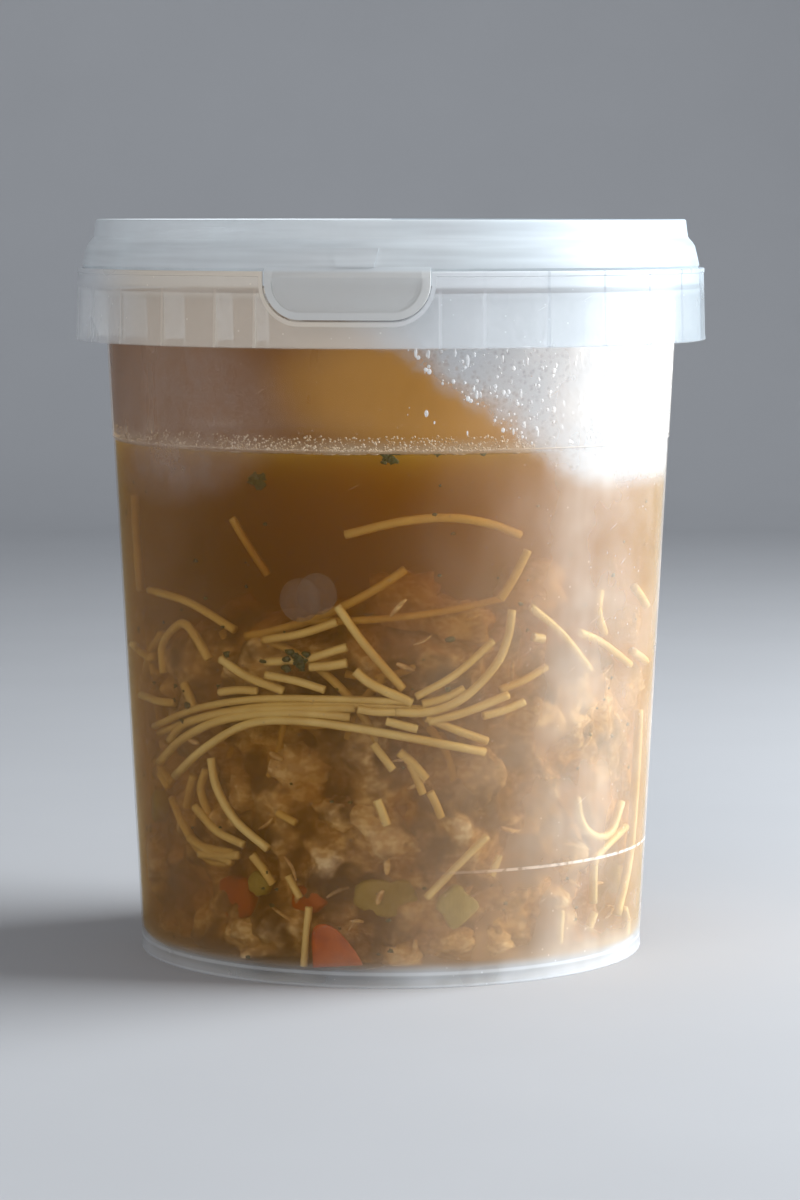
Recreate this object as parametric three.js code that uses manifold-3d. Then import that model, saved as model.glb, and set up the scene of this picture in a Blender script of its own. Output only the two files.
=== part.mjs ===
// A round lidded deli tub of chicken noodle soup, in millimetres, +Z up.
// The origin is the centre of the tub's foot, and the front, where the pull tab is, faces -Y.
// Three pieces: the tub with its tamper collar, the lid with its pull tab, and the soup.

import * as THREE from "three";
import { mergeVertices } from "three/addons/utils/BufferGeometryUtils.js";
import Module from "manifold-3d";

const wasm = await Module();
wasm.setup();

// Turned shapes
const SEGMENTS = 60;
const CLEARANCE = 0.35;

// Tub wall: a straight draft with a fine mould step just above the level of the soup
const FOOT_RADIUS = 47.25;
const WALL_DRAFT = 0.0515;
const WALL_THICKNESS = 0.8;
const STEP_HEIGHT = 97.0;
const STEP_WIDTH = 0.13;

// Base and foot ring
const FOOT_HEIGHT = 2.0;
const FOOT_BULGE = 0.2;
const FOOT_RING_WIDTH = 1.1;
const BASE_THICKNESS = 1.0;
const BASE_CORNER = 2.0;

// Rim, which snaps up into the lid
const RIM_TOP = 131.3;
const RIM_BEAD_RADIUS = 56.1;
const RIM_BEAD_HEIGHT = 129.6;
const RIM_LIP_WIDTH = 1.1;

// Tamper collar: an outer band joined to the tub by a flange, and stiffened by webs
const COLLAR_TOP = 128.4;
const COLLAR_BOTTOM = 115.0;
const COLLAR_TOP_RADIUS = 58.66;
const COLLAR_BOTTOM_RADIUS = 58.98;
const COLLAR_FLARE = 0.1;
const COLLAR_FLARE_HEIGHT = 0.8;
const COLLAR_THICKNESS = 0.75;
const FLANGE_TOP = 125.5;
const FLANGE_THICKNESS = 1.0;
const LIP_HEIGHT = 0.8;
const LIP_RELIEF = 0.12;
const WEB_COUNT = 30;
const WEB_THICKNESS = 0.6;
const WEB_FOOT = 116.2;

// Pull tab in a U-shaped notch of the collar, a little to the left of the front
const TAB_AZIMUTH = THREE.MathUtils.degToRad(-7.65);
const NOTCH_HALF_WIDTH = 15.0;
const NOTCH_BOTTOM = 119.6;
const NOTCH_CORNER = 6.8;
const NOTCH_DEPTH_RADIUS = 57.0;
const PRISM_FROM = 50;
const PRISM_TO = 65;
const TAB_WEB_ANGLE = THREE.MathUtils.degToRad(16.2);
const TAB_INNER_RADIUS = 57.4;
const TAB_OUTER_RADIUS = 58.6;
const TAB_TOP = 129.2;
const TAB_RIM_WIDTH = 1.3;
const TAB_DISH = 0.3;

// Lid: a skirt inside the collar, a sloped shoulder, a stacking ring and a sunk panel
const LID_TOP = 137.4;
const LID_FOOT = 125.85;
const LID_THICKNESS = 0.8;
const SKIRT_RADIUS = 57.5;
const SHOULDER_FOOT = 128.8;
const SHOULDER_FOOT_RADIUS = 57.8;
const SHOULDER_TOP = 132.5;
const SHOULDER_TOP_RADIUS = 56.95;
const CHAMFER_TOP = 134.0;
const RING_FOOT_RADIUS = 55.7;
const RING_TOP_RADIUS = 55.3;
const RING_WIDTH = 1.4;
const RING_ROUND = 0.4;
const PANEL_TOP = 133.0;
const CHANNEL_ROOF = 131.95;
const PLUG_RADIUS = 52.65;
const PLUG_FOOT = 127.8;
const GUSSET_TOP_HALF_WIDTH = 4.3;
const GUSSET_FOOT_HALF_WIDTH = 3.0;
const GUSSET_RELIEF = 0.25;
const GUSSET_SIDE_SHIFT = 1.6;

// Soup, up to the level that shows
const SOUP_LEVEL = 96.5;

// Outer radius of the tub's wall at a height.
function wallRadius(z) {
  const step = z > STEP_HEIGHT ? STEP_WIDTH : 0;
  return FOOT_RADIUS + WALL_DRAFT * z + step;
}

function innerRadius(z) {
  return wallRadius(z) - WALL_THICKNESS;
}

// Points along an arc from one angle to another, in degrees, for a turned profile.
function arc(centreR, centreZ, radius, fromDegrees, toDegrees, steps) {
  const points = [];
  for (let i = 0; i <= steps; i++) {
    const angle = THREE.MathUtils.degToRad(fromDegrees + ((toDegrees - fromDegrees) * i) / steps);
    points.push([centreR + radius * Math.cos(angle), centreZ + radius * Math.sin(angle)]);
  }
  return points;
}

// A closed mesh as a manifold solid.
function solidFrom(geometry) {
  const bare = geometry.clone();
  bare.deleteAttribute("normal");
  bare.deleteAttribute("uv");
  const merged = mergeVertices(bare, 1e-4);
  return new wasm.Manifold(
    new wasm.Mesh({
      numProp: 3,
      vertProperties: new Float32Array(merged.attributes.position.array),
      triVerts: new Uint32Array(merged.index.array),
    }),
  );
}

// A manifold solid as flat-shaded three.js geometry.
function geometryFrom(solid) {
  const mesh = solid.getMesh();
  const geometry = new THREE.BufferGeometry();
  geometry.setAttribute("position", new THREE.BufferAttribute(mesh.vertProperties, 3));
  geometry.setIndex(new THREE.BufferAttribute(mesh.triVerts, 1));
  geometry.computeVertexNormals();
  return geometry;
}

// A solid turned about the Z axis from [radius, height] points that run outwards along the bottom.
// A profile that doesn't start and end on the axis closes on itself.
function turned(profile) {
  const points = profile.map(([radius, height]) => new THREE.Vector2(radius, height));
  const onAxis = points[0].x === 0 && points[points.length - 1].x === 0;
  if (!onAxis) points.push(points[0].clone());
  const lathe = new THREE.LatheGeometry(points, SEGMENTS);
  return solidFrom(lathe.rotateX(Math.PI / 2));
}

// Turns a solid about the Z axis; a positive angle moves the front, -Y, towards +X.
function turnedBy(solid, angle) {
  return solid.rotate([0, 0, THREE.MathUtils.radToDeg(angle)]);
}

// A flat outline in (sideways, height), pushed out along -Y and turned to the tab's place.
function radialPrism(shape) {
  const depth = PRISM_TO - PRISM_FROM;
  const prism = new THREE.ExtrudeGeometry(shape, { depth, bevelEnabled: false, curveSegments: 6 });
  prism.rotateX(Math.PI / 2).translate(0, -PRISM_FROM, 0);
  return turnedBy(solidFrom(prism), TAB_AZIMUTH);
}

// The U of the notch, grown outwards by an amount; a negative amount makes it smaller.
function notchShape(grow) {
  const half = NOTCH_HALF_WIDTH + grow;
  const bottom = NOTCH_BOTTOM - grow;
  const corner = NOTCH_CORNER + grow;
  const top = LID_TOP;
  const shape = new THREE.Shape();
  shape.moveTo(-half, top);
  shape.lineTo(-half, bottom + corner);
  shape.absarc(-half + corner, bottom + corner, corner, Math.PI, 1.5 * Math.PI, false);
  shape.lineTo(half - corner, bottom);
  shape.absarc(half - corner, bottom + corner, corner, 1.5 * Math.PI, 2 * Math.PI, false);
  shape.lineTo(half, top);
  shape.closePath();
  return shape;
}

// Wall, base, rim, flange and collar as one turned solid.
function tubShell() {
  const floorTop = FOOT_HEIGHT + BASE_THICKNESS;
  const flangeUnder = FLANGE_TOP - FLANGE_THICKNESS;
  const collarInside = COLLAR_BOTTOM_RADIUS - COLLAR_THICKNESS;
  const collarInsideTop = COLLAR_TOP_RADIUS - COLLAR_THICKNESS;
  const footInside = FOOT_RADIUS - FOOT_RING_WIDTH;
  return turned([
    [0, FOOT_HEIGHT],
    [footInside, FOOT_HEIGHT],
    [footInside + 0.2, 0.2],
    [footInside + 0.4, 0],
    [FOOT_RADIUS, 0],
    [FOOT_RADIUS + FOOT_BULGE, 0.3],
    [FOOT_RADIUS + FOOT_BULGE, 0.9],
    [wallRadius(FOOT_HEIGHT), FOOT_HEIGHT],
    [wallRadius(STEP_HEIGHT - 0.5), STEP_HEIGHT - 0.5],
    [wallRadius(STEP_HEIGHT + 0.5), STEP_HEIGHT + 0.5],
    [wallRadius(flangeUnder), flangeUnder],
    [collarInsideTop, flangeUnder],
    [collarInside, COLLAR_BOTTOM],
    [COLLAR_BOTTOM_RADIUS + COLLAR_FLARE, COLLAR_BOTTOM],
    [COLLAR_BOTTOM_RADIUS + COLLAR_FLARE, COLLAR_BOTTOM + 0.4],
    [COLLAR_BOTTOM_RADIUS, COLLAR_BOTTOM + COLLAR_FLARE_HEIGHT],
    [COLLAR_TOP_RADIUS, COLLAR_TOP - LIP_HEIGHT - 0.2],
    [COLLAR_TOP_RADIUS + LIP_RELIEF, COLLAR_TOP - LIP_HEIGHT],
    ...arc(COLLAR_TOP_RADIUS + LIP_RELIEF - 0.3, COLLAR_TOP - 0.3, 0.3, 0, 90, 3),
    [collarInsideTop, COLLAR_TOP],
    [collarInsideTop, FLANGE_TOP],
    [wallRadius(FLANGE_TOP) + 0.4, FLANGE_TOP],
    [wallRadius(FLANGE_TOP), FLANGE_TOP + 0.5],
    [RIM_BEAD_RADIUS, RIM_BEAD_HEIGHT - 0.6],
    [RIM_BEAD_RADIUS, RIM_BEAD_HEIGHT],
    [RIM_BEAD_RADIUS - 0.8, RIM_TOP],
    [RIM_BEAD_RADIUS - 0.8 - RIM_LIP_WIDTH, RIM_TOP],
    [innerRadius(RIM_BEAD_HEIGHT - 1), RIM_BEAD_HEIGHT - 1],
    [innerRadius(STEP_HEIGHT + 0.5), STEP_HEIGHT + 0.5],
    [innerRadius(STEP_HEIGHT - 0.5), STEP_HEIGHT - 0.5],
    ...arc(innerRadius(floorTop + BASE_CORNER) - BASE_CORNER, floorTop + BASE_CORNER, BASE_CORNER, 0, -90, 4),
    [0, floorTop],
  ]);
}

// One upright web between the tub's wall and the collar.
function web(angle) {
  const fromRadius = wallRadius(WEB_FOOT) - 0.3;
  const toRadius = COLLAR_TOP_RADIUS - COLLAR_THICKNESS + 0.3;
  const height = FLANGE_TOP - 0.5 - WEB_FOOT;
  const box = new THREE.BoxGeometry(WEB_THICKNESS, toRadius - fromRadius, height);
  box.translate(0, -(fromRadius + toRadius) / 2, WEB_FOOT + height / 2);
  return turnedBy(solidFrom(box), angle);
}

// Webs all round at an even pitch, but beside the notch a pair stands at its two sides.
function collarWebs() {
  const pitch = (2 * Math.PI) / WEB_COUNT;
  const webs = [web(TAB_AZIMUTH - TAB_WEB_ANGLE), web(TAB_AZIMUTH + TAB_WEB_ANGLE)];
  for (let i = 2; i <= WEB_COUNT - 2; i++) webs.push(web(TAB_AZIMUTH + i * pitch));
  return webs;
}

// The raised lip of the collar, where it follows the notch down and round.
function notchLip() {
  const band = turned([
    [COLLAR_TOP_RADIUS - COLLAR_THICKNESS + 0.2, NOTCH_BOTTOM - 2],
    [COLLAR_TOP_RADIUS + LIP_RELIEF + 0.18, NOTCH_BOTTOM - 2],
    [COLLAR_TOP_RADIUS + LIP_RELIEF, COLLAR_TOP - 0.4],
    [COLLAR_TOP_RADIUS - COLLAR_THICKNESS + 0.2, COLLAR_TOP - 0.4],
  ]);
  return radialPrism(notchShape(LIP_HEIGHT)).intersect(band);
}

// What the notch takes out of the collar and the edge of its flange.
function notchCut() {
  const reach = turned([
    [NOTCH_DEPTH_RADIUS, NOTCH_BOTTOM - 1],
    [COLLAR_TOP_RADIUS + 3, NOTCH_BOTTOM - 1],
    [COLLAR_TOP_RADIUS + 3, LID_TOP],
    [NOTCH_DEPTH_RADIUS, LID_TOP],
  ]);
  return radialPrism(notchShape(0)).intersect(reach);
}

function makeTub() {
  let tub = tubShell().add(notchLip());
  for (const piece of collarWebs()) tub = tub.add(piece);
  return tub.subtract(notchCut());
}

// Skirt, shoulder, stacking ring, sunk panel and sealing plug as one turned solid.
function lidShell() {
  const ringInside = RING_TOP_RADIUS - RING_WIDTH;
  const panelUnder = PANEL_TOP - LID_THICKNESS;
  return turned([
    [0, panelUnder],
    [PLUG_RADIUS - LID_THICKNESS, panelUnder],
    [PLUG_RADIUS - LID_THICKNESS, PLUG_FOOT + 0.3],
    [PLUG_RADIUS - 0.5, PLUG_FOOT],
    [PLUG_RADIUS, PLUG_FOOT + 0.4],
    [PLUG_RADIUS, CHANNEL_ROOF - 1],
    [PLUG_RADIUS + 0.6, CHANNEL_ROOF],
    [SHOULDER_TOP_RADIUS - LID_THICKNESS, CHANNEL_ROOF],
    [SKIRT_RADIUS - LID_THICKNESS, SHOULDER_FOOT],
    [SKIRT_RADIUS - LID_THICKNESS, LID_FOOT],
    [SKIRT_RADIUS, LID_FOOT],
    [SKIRT_RADIUS, SHOULDER_FOOT - 0.3],
    [SHOULDER_FOOT_RADIUS, SHOULDER_FOOT],
    [SHOULDER_TOP_RADIUS, SHOULDER_TOP],
    [RING_FOOT_RADIUS, CHAMFER_TOP],
    [RING_TOP_RADIUS, LID_TOP - RING_ROUND],
    ...arc(RING_TOP_RADIUS - RING_ROUND, LID_TOP - RING_ROUND, RING_ROUND, 30, 90, 2),
    ...arc(ringInside + RING_ROUND, LID_TOP - RING_ROUND, RING_ROUND, 90, 180, 2),
    [ringInside - 0.7, PANEL_TOP],
    [0, PANEL_TOP],
  ]);
}

// The pull tab: a curved plate in the notch with a raised rim round a shallow dish.
function pullTab() {
  const plate = turned([
    [TAB_INNER_RADIUS, NOTCH_BOTTOM - 1],
    [TAB_OUTER_RADIUS, NOTCH_BOTTOM - 1],
    [TAB_OUTER_RADIUS, SHOULDER_FOOT - 1.2],
    [SHOULDER_FOOT_RADIUS - 0.02, TAB_TOP],
    [TAB_INNER_RADIUS, TAB_TOP],
  ]);
  const dish = turned([
    [TAB_OUTER_RADIUS - TAB_DISH, NOTCH_BOTTOM - 1],
    [TAB_OUTER_RADIUS + 3, NOTCH_BOTTOM - 1],
    [TAB_OUTER_RADIUS + 3, SHOULDER_FOOT - 1.6],
    [TAB_OUTER_RADIUS, SHOULDER_FOOT - 1.6],
    [TAB_OUTER_RADIUS - TAB_DISH, SHOULDER_FOOT - 2.6],
  ]);
  const outline = radialPrism(notchShape(-CLEARANCE));
  const dishOutline = radialPrism(notchShape(-CLEARANCE - TAB_RIM_WIDTH));
  return plate.intersect(outline).subtract(dish.intersect(dishOutline));
}

// A flat gusset on the shoulder that braces the tab.
function tabGusset() {
  const pad = turned([
    [SHOULDER_TOP_RADIUS - 0.5, SHOULDER_FOOT + 0.3],
    [SHOULDER_FOOT_RADIUS + GUSSET_RELIEF, SHOULDER_FOOT + 0.3],
    [SHOULDER_TOP_RADIUS + GUSSET_RELIEF, SHOULDER_TOP],
    [SHOULDER_TOP_RADIUS - 0.5, SHOULDER_TOP],
  ]);
  const shape = new THREE.Shape();
  shape.moveTo(GUSSET_SIDE_SHIFT - GUSSET_FOOT_HALF_WIDTH, SHOULDER_FOOT - 1);
  shape.lineTo(GUSSET_SIDE_SHIFT + GUSSET_FOOT_HALF_WIDTH, SHOULDER_FOOT - 1);
  shape.lineTo(GUSSET_SIDE_SHIFT + GUSSET_TOP_HALF_WIDTH, SHOULDER_TOP + 1);
  shape.lineTo(GUSSET_SIDE_SHIFT - GUSSET_TOP_HALF_WIDTH, SHOULDER_TOP + 1);
  shape.closePath();
  return pad.intersect(radialPrism(shape));
}

function makeLid() {
  return lidShell().add(pullTab()).add(tabGusset());
}

// The soup, just clear of the wall and floor of the tub.
function makeSoup() {
  const floor = FOOT_HEIGHT + BASE_THICKNESS + CLEARANCE;
  const radius = (z) => innerRadius(z) - CLEARANCE;
  return turned([
    [0, floor],
    ...arc(radius(floor + BASE_CORNER) - BASE_CORNER, floor + BASE_CORNER, BASE_CORNER, -90, 0, 4),
    [radius(SOUP_LEVEL / 2), SOUP_LEVEL / 2],
    [radius(SOUP_LEVEL), SOUP_LEVEL],
    [0, SOUP_LEVEL],
  ]);
}

const CLEAR_PLASTIC = new THREE.MeshStandardMaterial({
  color: 0xc9d0d4,
  roughness: 0.25,
  metalness: 0,
  transparent: true,
  opacity: 0.3,
});

const LID_PLASTIC = new THREE.MeshStandardMaterial({
  color: 0xbcc8d2,
  roughness: 0.35,
  metalness: 0,
});

const BROTH = new THREE.MeshStandardMaterial({
  color: 0x8a6432,
  roughness: 0.3,
  metalness: 0,
});

function pieceOf(name, solid, material) {
  const mesh = new THREE.Mesh(geometryFrom(solid), material);
  mesh.name = name;
  return mesh;
}

const tubOfSoup = new THREE.Group();
tubOfSoup.add(pieceOf("tub", makeTub(), CLEAR_PLASTIC));
tubOfSoup.add(pieceOf("lid", makeLid(), LID_PLASTIC));
tubOfSoup.add(pieceOf("soup", makeSoup(), BROTH));

export default tubOfSoup;
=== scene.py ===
import math
import random

import bmesh
import bpy
from mathutils import Matrix, Vector, noise


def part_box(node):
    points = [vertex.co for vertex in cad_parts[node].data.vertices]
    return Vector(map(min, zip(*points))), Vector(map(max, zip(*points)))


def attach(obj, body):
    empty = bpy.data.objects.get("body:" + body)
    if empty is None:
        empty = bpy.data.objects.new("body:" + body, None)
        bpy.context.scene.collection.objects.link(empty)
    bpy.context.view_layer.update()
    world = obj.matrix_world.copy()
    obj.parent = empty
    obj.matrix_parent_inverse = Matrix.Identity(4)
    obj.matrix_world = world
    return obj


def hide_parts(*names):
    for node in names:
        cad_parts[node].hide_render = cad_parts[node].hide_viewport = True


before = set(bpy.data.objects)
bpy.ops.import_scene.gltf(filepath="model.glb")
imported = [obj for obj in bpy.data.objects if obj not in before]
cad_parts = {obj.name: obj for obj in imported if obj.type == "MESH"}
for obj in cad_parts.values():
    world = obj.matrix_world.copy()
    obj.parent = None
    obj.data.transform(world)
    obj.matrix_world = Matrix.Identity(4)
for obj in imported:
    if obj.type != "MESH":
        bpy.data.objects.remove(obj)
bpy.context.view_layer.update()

bl_info = {
    "name": "Chicken Noodle Soup Tub",
    "version": (1, 0, 0),
    "blender": (4, 5, 0),
    "location": "3D View > Sidebar > Soup",
    "description": "Builds a lidded plastic tub of chicken noodle soup round its measured solids",
    "category": "Add Mesh",
}

MM = 0.001

# The photograph's frame and the camera worked out from it
PHOTO_WIDTH = 800
PHOTO_HEIGHT = 1200
CAMERA_PLACE = Vector((1.716, -761.74, 138.745))
CAMERA_TILT = 0.0958
CAMERA_LENS = 121.19
CAMERA_SENSOR = 36.0
FOCAL_PIXELS = CAMERA_LENS / CAMERA_SENSOR * PHOTO_HEIGHT

# Heights and radii of the tub and lid in millimetres, the same as in the solids
RIM_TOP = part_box("tub")[1].z / MM
LID_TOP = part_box("lid")[1].z / MM
SOUP_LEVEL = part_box("soup")[1].z / MM
FOOT_HEIGHT = 2.0
FLOOR_TOP = 3.0
STEP_HEIGHT = 97.0
STEP_WIDTH = 0.13
COLLAR_BOTTOM = 115.0
COLLAR_TOP = 128.4
COLLAR_TOP_RADIUS = 58.66
COLLAR_BOTTOM_RADIUS = 58.98
COLLAR_THICKNESS = 0.75
FLANGE_TOP = 125.5
FLANGE_UNDER = 124.5
LIP_HEIGHT = 0.8
LIP_RELIEF = 0.12
NOTCH_HALF_WIDTH = 15.0
NOTCH_BOTTOM = 119.6
NOTCH_CORNER = 6.8
NOTCH_DEPTH_RADIUS = 57.0
TAB_GAP = 0.35
SHOULDER_FOOT = 128.8
SHOULDER_TOP = 132.5
CHAMFER_TOP = 134.0
PANEL_TOP = 133.0
# Degrees round the tub: where the tab is, the webs' pitch, and how far from the tab a pair stands
TAB_AZIMUTH = -7.65
WEB_PITCH = 12.0
WEBS_BESIDE_NOTCH = 16.2

# Steps round a turned shape, and how far the broth reaches into the wall
TURNED_STEPS = 216
INTO_WALL = 0.5
# The radius at which hairlines and the chicken's noise are laid round the tub
NOISE_RADIUS = 50.0

# The sides that the photograph hides, in degrees round the tub
HIDDEN_SIDES = (75.0, 285.0)
# The height that the fog's slanting edge is measured from, and how many degrees further left it
# is for each millimetre above that
FOG_LEVEL = 96.0
FOG_LEAN = 1.6
# Pixels at the middles of the hazy patches, and the height of the scuff low on the right
HEADSPACE_HAZE = (178, 405)
HAZE_BELOW_LEVEL = (165, 474)
FOOT_MIST = (590, 955)
SCUFF_HEIGHT = 21.0

# How many of each small thing are scattered, besides those that the photograph places
MORE_CHUNKS = 46
SHREDS = 170
NOODLES_ROUND = 118
NOODLES_DRIFTING = 10
MORE_CUTS = 7
FINE_HERBS = 150
FROTH_TRIES = 5400
FAT_DROPS = 900
WATER_DROP_TRIES = 1700


class TubSizes(bpy.types.PropertyGroup):
    """Sizes of the tub and the noodles that a user can change."""

    foot_radius: bpy.props.FloatProperty(
        name="Foot radius",
        description="Radius that the tub's wall would have at the surface it stands on",
        default=0.04725,
        unit="LENGTH",
    )
    draft: bpy.props.FloatProperty(
        name="Draft",
        description="How much the wall's radius grows for each unit of height",
        default=0.0515,
    )
    wall: bpy.props.FloatProperty(
        name="Wall",
        description="Thickness of the plastic wall",
        default=0.0008,
        unit="LENGTH",
    )
    noodle: bpy.props.FloatProperty(
        name="Noodle",
        description="Diameter of a cooked noodle",
        default=0.0017,
        unit="LENGTH",
    )


def colour_property(name, description, red, green, blue):
    """A colour that a user can change."""
    return bpy.props.FloatVectorProperty(
        name=name,
        description=description,
        default=(red, green, blue),
        subtype="COLOR",
        min=0.0,
        max=1.0,
    )


class SoupColours(bpy.types.PropertyGroup):
    """Colours of the finishes that a user can change."""

    plastic: colour_property("Plastic", "Milky tint of the tub's wall", 0.72, 0.75, 0.78)
    lid: colour_property("Lid", "Milky tint of the lid and collar", 0.86, 0.94, 0.98)
    broth: colour_property("Broth", "Colour of the broth's skin", 0.16, 0.058, 0.004)
    noodle: colour_property("Noodle", "Cooked egg noodle", 0.7, 0.5, 0.2)
    chicken: colour_property("Chicken", "Pulled chicken", 0.62, 0.43, 0.27)
    # Darker meat, and painted shade in the gaps between shreds.
    dark_meat_and_gap_shade: colour_property("Dark meat", "Darker shreds and gaps between them", 0.11, 0.055, 0.022)
    carrot: colour_property("Carrot", "Cooked carrot", 0.52, 0.1, 0.006)
    celery: colour_property("Celery", "Cooked celery", 0.29, 0.29, 0.06)
    herb: colour_property("Herb", "Chopped parsley", 0.03, 0.035, 0.01)
    fat: colour_property("Fat", "Droplets of fat at the level of the soup", 0.68, 0.52, 0.35)
    fog: colour_property("Fog", "Condensation on the wall", 0.46, 0.49, 0.52)


def sizes():
    """The tub's sizes as set in the panel."""
    return bpy.context.scene.tub_sizes


def colour(name):
    """One of the panel's colours with a full alpha."""
    return (*getattr(bpy.context.scene.soup_colours, name), 1.0)


class Wire:
    """The value of a shader socket, for use in plain arithmetic."""

    def __init__(self, finish, socket):
        self.finish = finish
        self.socket = socket

    def __add__(self, other):
        return self.finish.maths("ADD", self, other)

    def __sub__(self, other):
        return self.finish.maths("SUBTRACT", self, other)

    def __rsub__(self, other):
        return self.finish.maths("SUBTRACT", other, self)

    def __mul__(self, other):
        return self.finish.maths("MULTIPLY", self, other)

    def __truediv__(self, other):
        return self.finish.maths("DIVIDE", self, other)

    def __pow__(self, other):
        return self.finish.maths("POWER", self, other)

    __radd__ = __add__
    __rmul__ = __mul__


class Finish:
    """A procedural material, built up one node at a time."""

    def __init__(self, name):
        self.material = bpy.data.materials.new(name)
        self.material.use_nodes = True
        self.tree = self.material.node_tree
        self.tree.nodes.clear()

    def add(self, kind, settings=None, inputs=None, output=0):
        """A node of any kind: its settings come first, then its sockets' values or links."""
        node = self.tree.nodes.new(kind)
        for name, value in (settings or {}).items():
            setattr(node, name, value)
        for name, value in (inputs or {}).items():
            self.feed(node.inputs[name], value)
        return Wire(self, node.outputs[output])

    def feed(self, socket, value):
        """Links a wire to a socket, or sets the socket to a plain value."""
        if isinstance(value, Wire):
            self.tree.links.new(value.socket, socket)
        else:
            socket.default_value = value

    def maths(self, operation, first, second=0.0):
        """One step of arithmetic on wires or numbers."""
        return self.add("ShaderNodeMath", {"operation": operation}, {0: first, 1: second})

    def smooth(self, value, low, high):
        """0 below low, 1 above high, and an S-curve between; low may be the larger."""
        return self.add(
            "ShaderNodeMapRange",
            {"interpolation_type": "SMOOTHSTEP"},
            {"Value": value, "From Min": low, "From Max": high},
        )

    def mix(self, factor, first, second):
        """Blends two colours."""
        settings = {"data_type": "RGBA", "clamp_factor": True}
        return self.add("ShaderNodeMix", settings, {0: factor, 6: first, 7: second}, output=2)

    def place(self):
        """Where the point is, in millimetres."""
        here = self.add("ShaderNodeTexCoord", output=3)
        return self.add("ShaderNodeVectorMath", {"operation": "SCALE"}, {0: here, "Scale": 1 / MM})

    def stretch(self, place, x, y, z):
        """The same place with each axis scaled."""
        return self.add("ShaderNodeVectorMath", {"operation": "MULTIPLY"}, {0: place, 1: (x, y, z)})

    def axes(self, place):
        """The place's three numbers."""
        return [self.add("ShaderNodeSeparateXYZ", inputs={0: place}, output=i) for i in range(3)]

    def azimuth(self, place):
        """Degrees round the tub: 0 at the front, growing to the right."""
        x, y, _ = self.axes(place)
        return self.maths("ARCTAN2", x, y * -1.0) * math.degrees(1.0)

    def noise(self, place, size, detail=2.0, roughness=0.5, distortion=0.0):
        """Soft noise from about 0.2 to 0.8, with lumps of about the given size."""
        inputs = {
            "Vector": place,
            "Scale": 1.0 / size,
            "Detail": detail,
            "Roughness": roughness,
            "Distortion": distortion,
        }
        return self.add("ShaderNodeTexNoise", inputs=inputs)

    def cells(self, place, size):
        """Distance to the nearest of scattered points, in cells."""
        return self.add("ShaderNodeTexVoronoi", inputs={"Vector": place, "Scale": 1.0 / size})

    def spot(self, azimuth, z, mark, reach, soft=0.7):
        """A soft-edged ellipse on the wall, round an (azimuth, height) and as wide as its reach."""
        across = (azimuth - mark[0]) / reach[0]
        up = (z - mark[1]) / reach[1]
        return self.smooth(across * across + up * up, 1.0 + soft, 1.0 - soft)

    def from_notch(self, place):
        """Millimetres outside the notch's outline, or less than 0 within it."""
        _, _, z = self.axes(place)
        sideways = (self.azimuth(place) - TAB_AZIMUTH) * math.radians(COLLAR_TOP_RADIUS)
        across = self.maths("ABSOLUTE", sideways) - (NOTCH_HALF_WIDTH - NOTCH_CORNER)
        below = NOTCH_BOTTOM + NOTCH_CORNER - z
        across = self.maths("MAXIMUM", across, 0.0)
        below = self.maths("MAXIMUM", below, 0.0)
        return (across * across + below * below) ** 0.5 - NOTCH_CORNER

    def bump(self, height, strength, distance):
        """A normal bent by a height; the distance is in millimetres."""
        inputs = {"Height": height, "Strength": strength, "Distance": distance * MM}
        return self.add("ShaderNodeBump", inputs=inputs)

    def principled(self, **inputs):
        """The main shader. Socket names are written with underscores for spaces."""
        named = {name.replace("_", " "): value for name, value in inputs.items()}
        return self.add("ShaderNodeBsdfPrincipled", inputs=named)

    def done(self, surface, volume=None):
        """Sends the shaders to the output and returns the material."""
        output = self.tree.nodes.new("ShaderNodeOutputMaterial")
        self.feed(output.inputs["Surface"], surface)
        if volume:
            self.feed(output.inputs["Volume"], volume)
        return self.material


# Places on the tub

def wall_radius(z):
    """Outer radius of the tub's wall at a height, in millimetres."""
    step = STEP_WIDTH if z > STEP_HEIGHT else 0.0
    return sizes().foot_radius / MM + sizes().draft * z + step


def inner_radius(z):
    """Inner radius of the tub's wall at a height, in millimetres."""
    return wall_radius(z) - sizes().wall / MM


def round_tub(azimuth, radius, z):
    """A point in millimetres at degrees round the tub from the front."""
    angle = math.radians(azimuth)
    return Vector((radius * math.sin(angle), -radius * math.cos(angle), z))


def pixel_ray(u, v):
    """The direction in which the camera sees a pixel of the photograph."""
    right = (u - PHOTO_WIDTH / 2) / FOCAL_PIXELS
    up = (PHOTO_HEIGHT / 2 - v) / FOCAL_PIXELS
    cos, sin = math.cos(CAMERA_TILT), math.sin(CAMERA_TILT)
    return Vector((right, cos + up * sin, up * cos - sin))


def behind_wall(u, v, depth):
    """The point seen at a pixel, at a depth in millimetres behind the inner face of the wall.

    Near the tub's edge, where nothing that deep is seen, it comes forward to where it is.
    """
    ray = pixel_ray(u, v)
    draft = sizes().draft
    start = sizes().foot_radius / MM - sizes().wall / MM - depth + draft * CAMERA_PLACE.z
    a = ray.x ** 2 + ray.y ** 2 - (draft * ray.z) ** 2
    b = 2 * (CAMERA_PLACE.x * ray.x + CAMERA_PLACE.y * ray.y - start * draft * ray.z)
    c = CAMERA_PLACE.x ** 2 + CAMERA_PLACE.y ** 2 - start ** 2
    reach = b * b - 4 * a * c
    if reach < 0:
        return behind_wall(u, v, depth - 0.25)
    return CAMERA_PLACE + ray * ((-b - math.sqrt(reach)) / (2 * a))


def on_wall(u, v):
    """The azimuth in degrees and the height at which a pixel meets the inner face of the wall."""
    place = behind_wall(u, v, 0.0)
    return math.degrees(math.atan2(place.x, -place.y)), place.z


# Mesh making

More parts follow.
